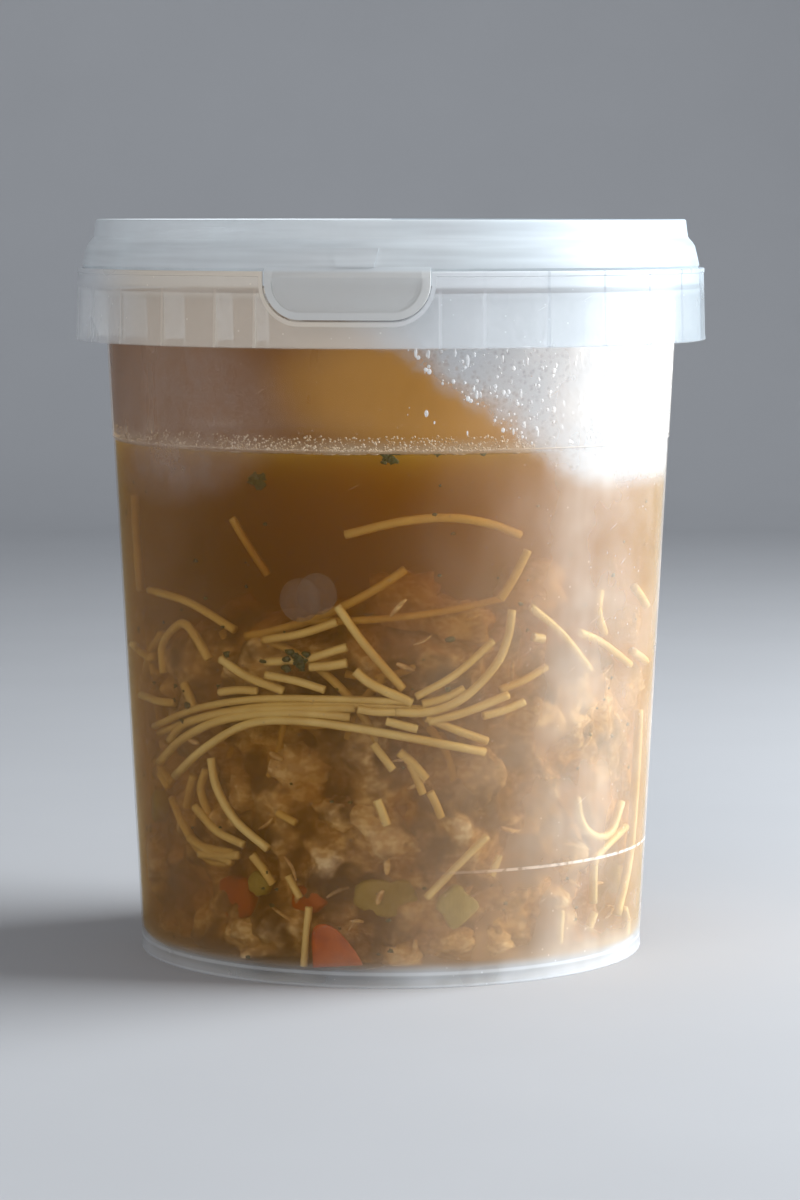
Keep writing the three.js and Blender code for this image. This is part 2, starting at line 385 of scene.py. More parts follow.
def new_piece(name, points, faces, material, slot):
    """A mesh of the soup or the tub from points in millimetres, riding on the tub."""
    mesh = bpy.data.meshes.new(name)
    mesh.from_pydata([tuple(Vector(p) * MM) for p in points], [], faces)
    mesh.validate()
    mesh.update()
    mesh.shade_smooth()
    mesh.materials.append(material)
    piece = bpy.data.objects.new(name, mesh)
    bpy.context.scene.collection.objects.link(piece)
    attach(piece, "root")
    return piece


def mark_sharp(piece, degrees=32.0):
    """Keeps the edges sharper than an angle crisp while the rest is smooth."""
    mesh = piece.data
    mesh.shade_smooth()
    mesh.set_sharp_from_angle(angle=math.radians(degrees))


class SoupMesh:
    """Points and faces that many small things share."""

    def __init__(self):
        self.points = []
        self.faces = []

    def add(self, points, faces):
        """Takes in the points and faces of one more thing."""
        start = len(self.points)
        self.points.extend(points)
        self.faces.extend([tuple(start + i for i in face) for face in faces])

    def piece(self, name, material, slot):
        """Makes one piece of all that was added."""
        return new_piece(name, self.points, self.faces, material, slot)


def turned(profile, steps=TURNED_STEPS):
    """Turns [radius, height] points, which run outwards along the bottom, round the Z axis."""
    points, faces, rings = [], [], []
    for radius, height in profile:
        if radius == 0:
            rings.append([len(points)] * steps)
            points.append(Vector((0, 0, height)))
            continue
        rings.append(list(range(len(points), len(points) + steps)))
        for i in range(steps):
            points.append(round_tub(360.0 * i / steps, radius, height))
    closes = profile[0][0] != 0 or profile[-1][0] != 0
    pairs = list(zip(rings, rings[1:]))
    if closes:
        pairs.append((rings[-1], rings[0]))
    for low, high in pairs:
        for i in range(steps):
            j = (i + 1) % steps
            corners = [low[i], low[j], high[j], high[i]]
            kept = [c for n, c in enumerate(corners) if c not in corners[:n]]
            if len(kept) > 2:
                faces.append(tuple(kept))
    return points, faces


def arc(centre_r, centre_z, radius, start, end, steps):
    """Points along an arc of a profile; the angles are in degrees."""
    found = []
    for i in range(steps + 1):
        angle = math.radians(start + (end - start) * i / steps)
        found.append((centre_r + radius * math.cos(angle), centre_z + radius * math.sin(angle)))
    return found


def band_faces(rings, count):
    """Faces between rings of points, each of which closes on itself."""
    faces = []
    for ring in range(rings - 1):
        low, high = ring * count, (ring + 1) * count
        for i in range(count):
            j = (i + 1) % count
            faces.append((low + i, low + j, high + j, high + i))
    return faces


def tube(route, radius, sides=8, squash=1.0, turn=0.0, taper=0.0):
    """A round bar along a route of points. Its ends are cut, or thinner by the taper."""
    points = []
    side = Vector((0, 0, 1)).cross(route[1] - route[0])
    if side.length < 1e-6:
        side = Vector((1, 0, 0))
    for n, centre in enumerate(route):
        ahead = route[min(n + 1, len(route) - 1)] - route[max(n - 1, 0)]
        ahead.normalize()
        side = (side - ahead * side.dot(ahead)).normalized()
        other = ahead.cross(side)
        middle = 1 - abs(2 * n / (len(route) - 1) - 1)
        here = radius * (1 - taper * (1 - middle) ** 2)
        for i in range(sides):
            angle = 2 * math.pi * i / sides + turn
            offset = side * math.cos(angle) + other * math.sin(angle) * squash
            points.append(centre + offset * here)
    faces = band_faces(len(route), sides)
    last = (len(route) - 1) * sides
    faces.append(tuple(range(sides - 1, -1, -1)))
    faces.append(tuple(last + i for i in range(sides)))
    return points, faces


def ball(centre, axes, columns=8, rows=5):
    """A ball stretched along three axes, each a vector as long as that radius."""
    points = [centre - axes[2]]
    for row in range(1, rows):
        lift = -math.pi / 2 + math.pi * row / rows
        for i in range(columns):
            turn = 2 * math.pi * i / columns
            flat = axes[0] * math.cos(turn) + axes[1] * math.sin(turn)
            points.append(centre + flat * math.cos(lift) + axes[2] * math.sin(lift))
    points.append(centre + axes[2])
    last = len(points) - 1
    faces = []
    for i in range(columns):
        j = (i + 1) % columns
        faces.append((0, 1 + j, 1 + i))
        faces.append((last, last - columns + i, last - columns + j))
        for row in range(rows - 2):
            low, high = 1 + row * columns, 1 + (row + 1) * columns
            faces.append((low + i, low + j, high + j, high + i))
    return points, faces


def facing(azimuth):
    """Sideways, up and outward directions at an azimuth."""
    outward = round_tub(azimuth, 1.0, 0.0)
    return Vector((0, 0, 1)).cross(outward), Vector((0, 0, 1)), outward


def lump(centre, radii, seed):
    """An uneven chunk with soft ridges."""
    roughness = 0.3
    shape = bmesh.new()
    bmesh.ops.create_icosphere(shape, subdivisions=3, radius=1.0)
    shift = Vector((seed * 3.7, seed * 1.3, seed * 2.1))
    points = []
    for vertex in shape.verts:
        way = vertex.co.normalized()
        swell = noise.fractal(way * 1.2 + shift, 0.8, 2.1, 4)
        ridge = noise.fractal(way * 3.4 + shift, 0.9, 2.0, 3)
        size = 0.9 + roughness * (swell * 1.3 + ridge * 0.9)
        points.append(centre + Vector(way[i] * radii[i] * size for i in range(3)))
    shape.verts.index_update()
    faces = [tuple(vertex.index for vertex in face.verts) for face in shape.faces]
    shape.free()
    return points, faces


def smooth_route(marks, steps):
    """A smooth curve through a few marks, which are tuples of numbers of any length."""
    marks = [Vector(mark) for mark in marks]
    first = marks[0] * 2 - marks[1]
    last = marks[-1] * 2 - marks[-2]
    padded = [first, *marks, last]
    found = []
    for n in range(len(marks) - 1):
        a, b, c, d = padded[n:n + 4]
        for i in range(steps):
            t = i / steps
            found.append(
                (b * 2 + (c - a) * t + (a * 2 - b * 5 + c * 4 - d) * t ** 2
                 + (b * 3 - a - c * 3 + d) * t ** 3) * 0.5
            )
    found.append(marks[-1])
    return found


# The tub and its lid

def notch_outline(grow):
    """The U of the notch as (sideways, height) points, grown by an amount."""
    half = NOTCH_HALF_WIDTH + grow
    bottom = NOTCH_BOTTOM - grow
    corner = NOTCH_CORNER + grow
    return [
        (-half, LID_TOP),
        *arc(-half + corner, bottom + corner, corner, 180, 270, 12),
        *arc(half - corner, bottom + corner, corner, 270, 360, 12),
        (half, LID_TOP),
    ]


def solid_object(name, points, faces):
    """A helper solid for cutting or joining, in metres."""
    mesh = bpy.data.meshes.new(name)
    mesh.from_pydata([tuple(Vector(p) * MM) for p in points], [], faces)
    helper = bpy.data.objects.new(name, mesh)
    bpy.context.scene.collection.objects.link(helper)
    return helper


def radial_prism(name, outline):
    """An outline pushed out through the wall on the tab's side."""
    near, far = 50.0, 65.0
    turn = Matrix.Rotation(math.radians(TAB_AZIMUTH), 3, "Z")
    count = len(outline)
    points = [turn @ Vector((x, -reach, z)) for reach in (near, far) for x, z in outline]
    faces = [tuple(range(count - 1, -1, -1)), tuple(count + i for i in range(count))]
    return solid_object(name, points, faces + band_faces(2, count))


def ring_solid(name, profile):
    """A helper solid turned from a closed profile."""
    points, faces = turned(profile)
    return solid_object(name, points, faces)


def combine(piece, other, operation):
    """Joins, cuts or intersects a solid with another, which is used up."""
    step = piece.modifiers.new("combine", "BOOLEAN")
    step.operation = operation
    step.solver = "EXACT"
    step.object = other
    graph = bpy.context.evaluated_depsgraph_get()
    made = bpy.data.meshes.new_from_object(piece.evaluated_get(graph))
    piece.modifiers.clear()
    old = piece.data
    piece.data = made
    bpy.data.meshes.remove(old)
    bpy.data.objects.remove(other)


def foot_outline():
    """The sunk base and the foot ring, outwards from the middle."""
    foot = sizes().foot_radius / MM
    foot_inside = foot - 1.1
    return [
        (0, FOOT_HEIGHT),
        (foot_inside, FOOT_HEIGHT),
        (foot_inside + 0.2, 0.25),
        (foot_inside + 0.4, 0),
        (foot, 0),
        *arc(foot - 0.1, 0.3, 0.3, -60, 0, 3),
        (foot + 0.2, 0.9),
        (foot + 0.1, 1.5),
    ]


def wall_outline():
    """The wall's outer face with its mould step, up to the flange."""
    heights = [FOOT_HEIGHT + (STEP_HEIGHT - 1 - FOOT_HEIGHT) * i / 12 for i in range(13)]
    return [
        *[(wall_radius(z), z) for z in heights],
        (wall_radius(STEP_HEIGHT - 0.35), STEP_HEIGHT - 0.35),
        (wall_radius(STEP_HEIGHT + 0.05), STEP_HEIGHT - 0.15),
        (wall_radius(STEP_HEIGHT + 8), STEP_HEIGHT + 8),
        (wall_radius(COLLAR_BOTTOM), COLLAR_BOTTOM),
        (wall_radius(FLANGE_UNDER) - 0.1, FLANGE_UNDER - 0.3),
        (wall_radius(FLANGE_UNDER) + 0.3, FLANGE_UNDER),
    ]


def collar_outline():
    """The collar, down its inner face and up its outer one, and the flange's top."""
    inside = COLLAR_TOP_RADIUS - COLLAR_THICKNESS
    inside_low = COLLAR_BOTTOM_RADIUS - COLLAR_THICKNESS
    lip = COLLAR_TOP_RADIUS + LIP_RELIEF
    return [
        (inside, FLANGE_UNDER),
        (inside_low, COLLAR_BOTTOM + 0.2),
        (inside_low + 0.2, COLLAR_BOTTOM),
        *arc(COLLAR_BOTTOM_RADIUS - 0.1, COLLAR_BOTTOM + 0.2, 0.2, -90, 0, 3),
        (COLLAR_BOTTOM_RADIUS + 0.1, COLLAR_BOTTOM + 0.4),
        (COLLAR_BOTTOM_RADIUS, COLLAR_BOTTOM + 0.8),
        (COLLAR_TOP_RADIUS, COLLAR_TOP - LIP_HEIGHT - 0.15),
        (lip, COLLAR_TOP - LIP_HEIGHT),
        *arc(lip - 0.3, COLLAR_TOP - 0.3, 0.3, 0, 90, 4),
        (inside, COLLAR_TOP),
        (inside, FLANGE_TOP),
        (wall_radius(FLANGE_TOP) + 0.4, FLANGE_TOP),
        (wall_radius(FLANGE_TOP), FLANGE_TOP + 0.5),
    ]


def inside_outline():
    """The rim's bead and the inner face, down to the middle of the floor."""
    bead, corner = 56.1, 2.0
    heights = [STEP_HEIGHT - 1 - (STEP_HEIGHT - 6 - FLOOR_TOP) * i / 12 for i in range(12)]
    return [
        (bead, 129.0),
        (bead, 129.6),
        (bead - 0.8, RIM_TOP),
        (bead - 1.9, RIM_TOP),
        (inner_radius(128.6), 128.6),
        (inner_radius(COLLAR_BOTTOM), COLLAR_BOTTOM),
        (inner_radius(STEP_HEIGHT + 1), STEP_HEIGHT + 1),
        *[(inner_radius(z), z) for z in heights],
        *arc(inner_radius(FLOOR_TOP + corner) - corner, FLOOR_TOP + corner, corner, 0, -90, 5),
        (0, FLOOR_TOP),
    ]


def tub_profile():
    """The whole tub as one closed outline."""
    return foot_outline() + wall_outline() + collar_outline() + inside_outline()


def web_box(azimuth):
    """One upright web between the wall and the collar."""
    low, high = 116.2, FLANGE_UNDER
    half = 0.3
    near = wall_radius(low) - 0.05
    far = COLLAR_TOP_RADIUS - COLLAR_THICKNESS + 0.15
    turn = Matrix.Rotation(math.radians(azimuth), 3, "Z")
    points = []
    for z, inset in ((low, 0.0), (high, 0.4)):
        corners = ((-half, near + inset), (half, near + inset), (half, far), (-half, far))
        points.extend(turn @ Vector((x, -reach, z)) for x, reach in corners)
    return points, [(3, 2, 1, 0), (4, 5, 6, 7), *band_faces(2, 4)]


def web_azimuths():
    """Webs every 12 degrees, with a pair moved to the two sides of the notch."""
    found = [TAB_AZIMUTH - WEBS_BESIDE_NOTCH, TAB_AZIMUTH + WEBS_BESIDE_NOTCH]
    found.extend(TAB_AZIMUTH + WEB_PITCH * i for i in range(2, 29))
    return found


def raise_lip(tub):
    """Raises the lip along the collar's top and round its notch."""
    lip = radial_prism("lip", notch_outline(LIP_HEIGHT))
    inside = COLLAR_TOP_RADIUS - COLLAR_THICKNESS + 0.2
    face = COLLAR_TOP_RADIUS + LIP_RELIEF
    band = [(inside, 117.5), (face + 0.18, 117.5), (face, COLLAR_TOP - 0.4), (inside, COLLAR_TOP - 0.4)]
    combine(lip, ring_solid("band", band), "INTERSECT")
    combine(tub, lip, "UNION")


def cut_notch(tub):
    """Cuts the notch in which the lid's tab lies."""
    notch = radial_prism("notch", notch_outline(0.0))
    reach = [(NOTCH_DEPTH_RADIUS, 118), (62, 118), (62, LID_TOP), (NOTCH_DEPTH_RADIUS, LID_TOP)]
    combine(notch, ring_solid("reach", reach), "INTERSECT")
    combine(tub, notch, "DIFFERENCE")


def wet_inside(tub):
    """Gives the wall's inner face its own finish."""
    tub.data.materials.append(inner_plastic())
    for face in tub.data.polygons:
        middle = face.center / MM
        facing_in = face.normal.x * middle.x + face.normal.y * middle.y < -10.0
        if facing_in and math.hypot(middle.x, middle.y) < inner_radius(middle.z) + 0.1:
            face.material_index = 1


def build_tub():
    """The tub with the raised lip and the notch of its collar, and the webs under it."""
    points, faces = turned(tub_profile())
    tub = new_piece("tub_shell", points, faces, clear_plastic(), "clear_plastic")
    raise_lip(tub)
    cut_notch(tub)
    webs = SoupMesh()
    for azimuth in web_azimuths():
        webs.add(*web_box(azimuth))
    mark_sharp(tub)
    wet_inside(tub)
    let_light_through(tub)
    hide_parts("tub")
    mark_sharp(webs.piece("collar_webs", web_plastic(), "clear_plastic"))


def lid_profile():
    """Skirt, shoulder, stacking ring, sunk panel and sealing plug as one closed outline."""
    skirt, wall = 57.5, 0.8
    plug = 52.65
    ring = 55.3
    round_off = 0.45
    ring_inside = ring - 1.4
    roof = 131.95
    return [
        (0, PANEL_TOP - wall),
        (plug - wall, PANEL_TOP - wall),
        (plug - wall, 128.1),
        (plug - 0.5, 127.8),
        (plug, 128.2),
        (plug, roof - 1),
        (plug + 0.6, roof),
        (56.15, roof),
        (skirt - wall, SHOULDER_FOOT),
        (skirt - wall, 125.85),
        (skirt, 125.85),
        (skirt, SHOULDER_FOOT - 0.35),
        (57.7, SHOULDER_FOOT - 0.1),
        (57.8, SHOULDER_FOOT + 0.1),
        (57.42, 130.6),
        (57.0, SHOULDER_TOP - 0.2),
        (56.9, SHOULDER_TOP),
        (56.6, SHOULDER_TOP + 0.5),
        (55.85, CHAMFER_TOP - 0.15),
        (55.68, CHAMFER_TOP + 0.1),
        (55.5, 135.3),
        *arc(ring - round_off, LID_TOP - round_off, round_off, 0, 90, 5),
        *arc(ring_inside + round_off, LID_TOP - round_off, round_off, 90, 180, 5),
        (ring_inside - 0.6, PANEL_TOP + 0.3),
        (ring_inside - 1.0, PANEL_TOP),
        (0, PANEL_TOP),
    ]


def tab_solid():
    """The pull tab: a curved plate in the notch with a raised rim round a shallow dish."""
    inner, outer, dish_depth, rim = 57.4, 58.6, 0.3, 1.3
    plate = [
        (inner, 118.6),
        (outer, 118.6),
        (outer, 127.4),
        (58.35, 128.2),
        (57.78, 129.2),
        (inner, 129.2),
    ]
    tab = ring_solid("tab", plate)
    combine(tab, radial_prism("tab_outline", notch_outline(-TAB_GAP)), "INTERSECT")
    dish = [
        (outer - dish_depth, 118.6),
        (62, 118.6),
        (62, 127.2),
        (outer, 127.2),
        (outer - dish_depth, 126.2),
    ]
    hollow = ring_solid("dish", dish)
    combine(hollow, radial_prism("dish_outline", notch_outline(-TAB_GAP - rim)), "INTERSECT")
    combine(tab, hollow, "DIFFERENCE")
    return tab


def gusset_solid():
    """A flat gusset on the shoulder that braces the tab."""
    relief, shift = 0.25, 1.6
    pad = [
        (56.4, SHOULDER_FOOT + 0.3),
        (57.8 + relief, SHOULDER_FOOT + 0.3),
        (56.95 + relief, SHOULDER_TOP),
        (56.4, SHOULDER_TOP),
    ]
    gusset = ring_solid("gusset", pad)
    outline = [
        (shift - 4.3, SHOULDER_TOP + 1),
        (shift - 3.0, SHOULDER_FOOT - 1),
        (shift + 3.0, SHOULDER_FOOT - 1),
        (shift + 4.3, SHOULDER_TOP + 1),
    ]
    combine(gusset, radial_prism("gusset_outline", outline), "INTERSECT")
    return gusset


def build_lid():
    """The lid with its pull tab and the gusset above it."""
    points, faces = turned(lid_profile())
    lid = new_piece("lid_shell", points, faces, lid_plastic(), "lid_plastic")
    combine(lid, tab_solid(), "UNION")
    combine(lid, gusset_solid(), "UNION")
    mark_sharp(lid)
    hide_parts("lid")


# Finishes of the plastic

def see_through(finish, cover, shader):
    """Shows the shader where cover is 1 and lets light pass where it is 0."""
    clear = finish.add("ShaderNodeBsdfTransparent")
    return finish.add("ShaderNodeMixShader", inputs={0: cover, 1: clear, 2: shader})


def scratches(finish, place, length, width, turn):
    """Thin broken hairlines along one direction of the wall, as a mask."""
    sideways = finish.azimuth(place) * math.radians(NOISE_RADIUS)
    _, _, z = finish.axes(place)
    cos, sin = math.cos(turn), math.sin(turn)
    along = sideways * cos + z * sin
    across = z * cos - sideways * sin
    flat = finish.add("ShaderNodeCombineXYZ", inputs={0: along / length, 1: across / width})
    line = finish.noise(flat, 1.0, detail=1.0)
    patch = finish.noise(place, 9.0)
    return finish.smooth(line, 0.72, 0.78) * finish.smooth(patch, 0.5, 0.62)


def let_light_through(piece):
    """Shadow, diffuse and volume rays pass a thin clear piece, which keeps renders short."""
    piece.visible_shadow = False
    piece.visible_diffuse = False
    piece.visible_volume_scatter = False


def haze_and_side_glow(finish, place, azimuth, z, mottle):
    """Milky haze on the wall, faint on the left, and a broad veil on the right of the front that is
    partly painted light from that side.
    """
    streaks = finish.noise(finish.stretch(place, 1.0, 1.0, 0.12), 3.0, detail=1.0)
    uneven = finish.smooth(mottle + streaks * 0.2, 0.1, 1.0)
    # Painted light: the veil on the right stands in for the glow of the light from that side, and thins
    # where that light falls hardest.
    right = finish.smooth(azimuth - z * 0.25, -27.0, 22.0) * (0.2 + uneven * 0.3)
    right = right * (0.52 + finish.smooth(azimuth, 64.0, 34.0) * 0.48)
    return right + finish.smooth(azimuth, -28.0, -60.0) * (0.06 + mottle * 0.1)


def foot_haze(finish, azimuth, z, mottle):
    """Mist low on the wall, and the cloudy plastic of the foot."""
    mist = finish.spot(azimuth, z, on_wall(*FOOT_MIST), (26.0, 6.0)) * 0.05
    foot = 1 - finish.smooth(z, 2.6, 4.6)
    return mist + foot * 0.09 + finish.smooth(z, 8.0, 2.4) * (0.05 + mottle * 0.2)


def wall_lines(finish, place, azimuth, z):
    """The mould step with a painted highlight along it, the foot's two lines, hairlines, specks and the
    scuff low on the right.
    """
    # Painted highlight: a pale line along the mould step, where light catches it.
    step = finish.smooth(z, STEP_HEIGHT - 0.35, STEP_HEIGHT - 0.2)
    step = step * finish.smooth(z, STEP_HEIGHT + 0.1, STEP_HEIGHT)
    foot = finish.smooth(z, 0.75, 0.35) + finish.smooth(z, 2.2, 2.5) * finish.smooth(z, 3.1, 2.8)
    scuffed = finish.smooth(azimuth, 4.0, 30.0) * finish.smooth(finish.noise(place, 1.6), 0.25, 0.55)
    scuff = finish.spot(0.0, z, (0.0, SCUFF_HEIGHT), (1.0, 0.26)) * scuffed
    specks = finish.smooth(finish.cells(place, 2.4), 0.1, 0.05)
    hair = scratches(finish, place, 9.0, 0.5, 0.5)
    return step * 0.25 + foot * 0.2 + scuff * 0.5 + specks * 0.2 + hair * 0.22


def collar_ribs(finish, azimuth):
    """Where the webs show through the collar, as a mask."""
    pitch = finish.maths("PINGPONG", azimuth - TAB_AZIMUTH, WEB_PITCH / 2)
    from_tab = finish.maths("ABSOLUTE", azimuth - TAB_AZIMUTH)
    beside = finish.maths("ABSOLUTE", from_tab - WEBS_BESIDE_NOTCH)
    regular = finish.smooth(pitch, 0.4, 0.15) * finish.smooth(from_tab, 18.0, 20.0)
    return finish.maths("MAXIMUM", regular, finish.smooth(beside, 0.4, 0.15))


def collar_lips(finish, place, z):
    """The raised lip along the collar's top and round its notch, as a mask."""
    outside = finish.from_notch(place)
    notch = finish.smooth(outside, -0.1, 0.1)
    notch = notch * finish.smooth(outside, LIP_HEIGHT + 0.1, LIP_HEIGHT - 0.1)
    return notch + finish.smooth(z, COLLAR_TOP - 1.1, COLLAR_TOP - 0.7)


def wall_tint(finish, azimuth, z, collar, ribs):
    """Peach on the wall, paler to the right as painted light from that side, stained at the collar's
    left, cooler where its right is lit, and darker over the webs there.
    """
    warm = (1 - collar) * finish.smooth(z, 3.0, 5.0)
    # Painted light: the peach turns paler towards the right, where the light comes from.
    peach_glow = finish.mix(finish.smooth(azimuth, 20.0, 55.0), (0.6, 0.43, 0.3, 1.0), (0.94, 0.87, 0.78, 1.0))
    stained = collar * finish.smooth(azimuth, 8.0, -14.0) * finish.smooth(azimuth, -72.0, -46.0)
    plain = finish.mix(stained, colour("plastic"), (0.74, 0.66, 0.56, 1.0))
    lit = collar * finish.smooth(azimuth, 10.0, 60.0)
    plain = finish.mix(lit, plain, (0.46, 0.52, 0.56, 1.0))
    plain = finish.mix(lit * ribs, plain, (0.24, 0.28, 0.33, 1.0))
    return finish.mix(warm, plain, peach_glow)


def clear_plastic():
    """Natural clear plastic: nearly clear on the wall, milky where it is seen on edge."""
    finish = Finish("clear_plastic_finish")
    place = finish.place()
    _, _, z = finish.axes(place)
    azimuth = finish.azimuth(place)
    mottle = finish.noise(place, 12.0, detail=2.0)
    edge = finish.add("ShaderNodeLayerWeight", inputs={"Blend": 0.35}, output=1)
    collar = finish.smooth(z, COLLAR_BOTTOM - 0.6, COLLAR_BOTTOM + 0.2)
    upper = finish.smooth(z, 123.2, 125.8)
    ribs = collar_ribs(finish, azimuth)
    cover = 0.006 + edge ** 4.0 * 0.24 + (mottle - 0.5) * 0.03
    cover = cover + collar * (0.36 + upper * 0.3 + ribs * (1 - upper) * 0.3)
    cover = cover + collar * collar_lips(finish, place, z) * 0.4
    cover = cover + (1 - collar) * haze_and_side_glow(finish, place, azimuth, z, mottle)
    cover = cover + foot_haze(finish, azimuth, z, mottle) + wall_lines(finish, place, azimuth, z)
    shader = finish.principled(
        Base_Color=wall_tint(finish, azimuth, z, collar, ribs),
        Roughness=0.2 + mottle * 0.2,
        Normal=finish.bump(mottle, 0.25, 0.4),
    )
    cover = finish.maths("MINIMUM", finish.maths("MAXIMUM", cover, 0.004), 0.95)
    return finish.done(see_through(finish, cover, shader))


def inner_plastic():
    """The wetted inner face of the wall, which hardly shows."""
    finish = Finish("inner_finish")
    mottle = finish.noise(finish.place(), 12.0, detail=1.0)
    shader = finish.principled(Base_Color=colour("plastic"), Roughness=0.1 + mottle * 0.1)
    return finish.done(see_through(finish, mottle * 0.02, shader))


def web_plastic():
    """The webs, which are seen on edge through the collar."""
    finish = Finish("web_finish")
    mottle = finish.noise(finish.place(), 4.0)
    shader = finish.principled(
        Base_Color=finish.mix(mottle, colour("plastic"), (0.85, 0.88, 0.9, 1.0)),
        Roughness=0.3 + mottle * 0.1,
    )
    return finish.done(see_through(finish, 0.1 + mottle * 0.15, shader))


def lid_plastic():
    """The same plastic, thicker and milkier, and thin again in the pull tab, with painted shade on its
    lit right.
    """
    finish = Finish("lid_plastic_finish")
    place = finish.place()
    _, _, z = finish.axes(place)
    edge = finish.add("ShaderNodeLayerWeight", inputs={"Blend": 0.3}, output=1)
    mottle = finish.noise(place, 11.0, detail=4.0)
    streaks = finish.noise(finish.stretch(place, 0.05, 0.05, 0.7), 1.0, detail=1.0)
    ring = finish.smooth(z, CHAMFER_TOP - 0.4, CHAMFER_TOP + 0.3)
    outside = finish.from_notch(place)
    tab = finish.smooth(outside, 0.3, -0.1) * finish.smooth(z, COLLAR_TOP + 0.4, COLLAR_TOP - 0.4)
    dish = finish.smooth(outside, -TAB_GAP - 1.1, -TAB_GAP - 1.5)
    body = 0.74 + ring * 0.1 + edge * 0.22 + (streaks - 0.5) * 0.4
    thin = 0.74 - dish * 0.14 + edge * 0.2
    cover = body * (1 - tab) + thin * tab
    neutral = (0.78, 0.79, 0.78, 1.0)
    milky = finish.mix(mottle, colour("lid"), colour("plastic"))
    # Painted shade: darker and bluer towards the right, where the key light falls hardest.
    milky = finish.mix(finish.smooth(finish.azimuth(place), 0.0, 60.0), milky, (0.5, 0.58, 0.64, 1.0))
    shader = finish.principled(
        Base_Color=finish.mix(tab, milky, neutral),
        Roughness=0.3 + mottle * 0.14,
        Normal=finish.bump(mottle, 0.1, 0.4),
    )
    cover = finish.maths("MINIMUM", finish.maths("MAXIMUM", cover, 0.1), 0.96)
    return finish.done(see_through(finish, cover, shader))


# The broth

def broth_finish():
    """Turbid amber broth: a faint veil on its skin and a haze all through it."""
    finish = Finish("broth_finish")
    place = finish.place()
    cloud = finish.noise(place, 9.0, detail=1.0)
    veil = finish.principled(
        Base_Color=finish.mix(cloud, colour("broth"), (0.26, 0.095, 0.01, 1.0)),
        Roughness=0.25 + cloud * 0.1,
    )
    skin = see_through(finish, 0.07 + cloud * 0.15, veil)
    haze = finish.add(
        "ShaderNodeVolumeScatter",
        inputs={"Color": (1.0, 0.73, 0.11, 1.0), "Density": 54.0, "Anisotropy": 0.3},
    )
    tint = finish.add(
        "ShaderNodeVolumeAbsorption",
        inputs={"Color": (0.83, 0.595, 0.045, 1.0), "Density": 185.0},
    )
    volume = finish.add("ShaderNodeAddShader", inputs={0: haze, 1: tint})
    return finish.done(skin, volume)


def broth_radius(z):
    """Radius of the broth, just inside the plastic."""
    return inner_radius(z) + INTO_WALL


def build_broth():
    """The broth reaches just into the wall, so no gap shows between them."""
    corner = 2.2
    floor = FLOOR_TOP - INTO_WALL
    level = SOUP_LEVEL
    profile = [
        (0, floor),
        *arc(broth_radius(floor + corner) - corner, floor + corner, corner, -90, 0, 6),
        (broth_radius(30), 30),
        (broth_radius(60), 60),
        (broth_radius(90), 90),
        (broth_radius(level), level),
        (broth_radius(level) - 0.6, level - 0.35),
        (broth_radius(level) - 1.6, level - 0.55),
        (30, level - 0.6),
        (0, level - 0.6),
    ]
    points, faces = turned(profile)
    broth = new_piece("broth", points, faces, broth_finish(), "broth")
    mark_sharp(broth, 50)
    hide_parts("soup")


# What is sunk in the broth

def noodle_finish():
    """Wet egg noodle with fine streaks along its cut."""
    finish = Finish("noodle_finish")
    place = finish.place()
    tone = finish.noise(place, 6.0, detail=2.0)
    fleck = finish.noise(place, 0.7, detail=3.0)
    pale = (0.82, 0.63, 0.27, 1.0)
    shader = finish.principled(
        Base_Color=finish.mix(finish.smooth(tone, 0.3, 0.7), colour("noodle"), pale),
        Roughness=0.3 + fleck * 0.2,
        Normal=finish.bump(fleck, 0.3, 0.15),
    )
    return finish.done(shader)


# Noodles as the photograph shows them: a depth behind the wall in millimetres at each end,
# then the pixels that each passes.
UPPER_NOODLES = {
    "deep_left": (6.0, 11.0, [(232, 518), (248, 545), (268, 575)]),
    "arch": (4.6, 6.0, [(345, 535), (400, 522), (450, 518), (490, 524), (520, 535)]),
    "right_of_arch": (3.4, 5.0, [(528, 550), (515, 576), (500, 600)]),
    "left_sweep": (3.2, 5.0, [(150, 590), (190, 603), (235, 630)]),
    "loop_left": (3.6, 4.2, [(148, 668), (152, 650), (162, 634)]),
    "loop_low": (3.0, 2.8, [(184, 684), (190, 697), (194, 709)]),
    "loop": (3.0, 3.6, [(164, 673), (163, 645), (177, 626), (189, 627), (209, 659)]),
    "left_edge": (0.3, 2.4, [(133, 644), (140, 651), (151, 659)]),
    "left_edge_low": (0.9, 3.4, [(142, 695), (158, 701), (175, 703)]),
}
MIDDLE_NOODLES = {
    "under_loop": (1.6, 2.4, [(221, 659), (248, 677), (284, 691)]),
    "short_a": (2.0, 2.6, [(220, 692), (240, 690), (258, 691)]),
    "short_b": (3.2, 2.6, [(264, 640), (300, 634), (337, 622)]),
    "short_c": (2.4, 2.0, [(266, 662), (305, 659), (347, 647)]),
    "short_d": (2.2, 1.9, [(310, 667), (328, 666), (347, 663)]),
    "short_e": (1.8, 1.7, [(266, 675), (296, 681), (325, 690)]),
    "thick": (1.0, 2.6, [(337, 606), (365, 645), (403, 689)]),
    "crossing": (1.0, 1.1, [(355, 671), (373, 685), (412, 703)]),
    "curl_a": (1.0, 2.2, [(416, 697), (456, 674), (493, 641)]),
    "curl_b": (1.0, 1.2, [(395, 712), (428, 712), (462, 699), (495, 666), (508, 637), (512, 610)]),
    "curl_c": (1.9, 2.6, [(422, 704), (443, 699), (464, 689)]),
    "curl_d": (1.2, 1.4, [(428, 722), (466, 712), (508, 695)]),
    "curl_e": (1.5, 1.2, [(483, 716), (505, 710), (524, 702)]),
    "joint_a": (0.9, 0.9, [(386, 721), (401, 725), (417, 729)]),
    "joint_b": (1.1, 1.0, [(358, 709), (376, 712), (395, 712)]),
}
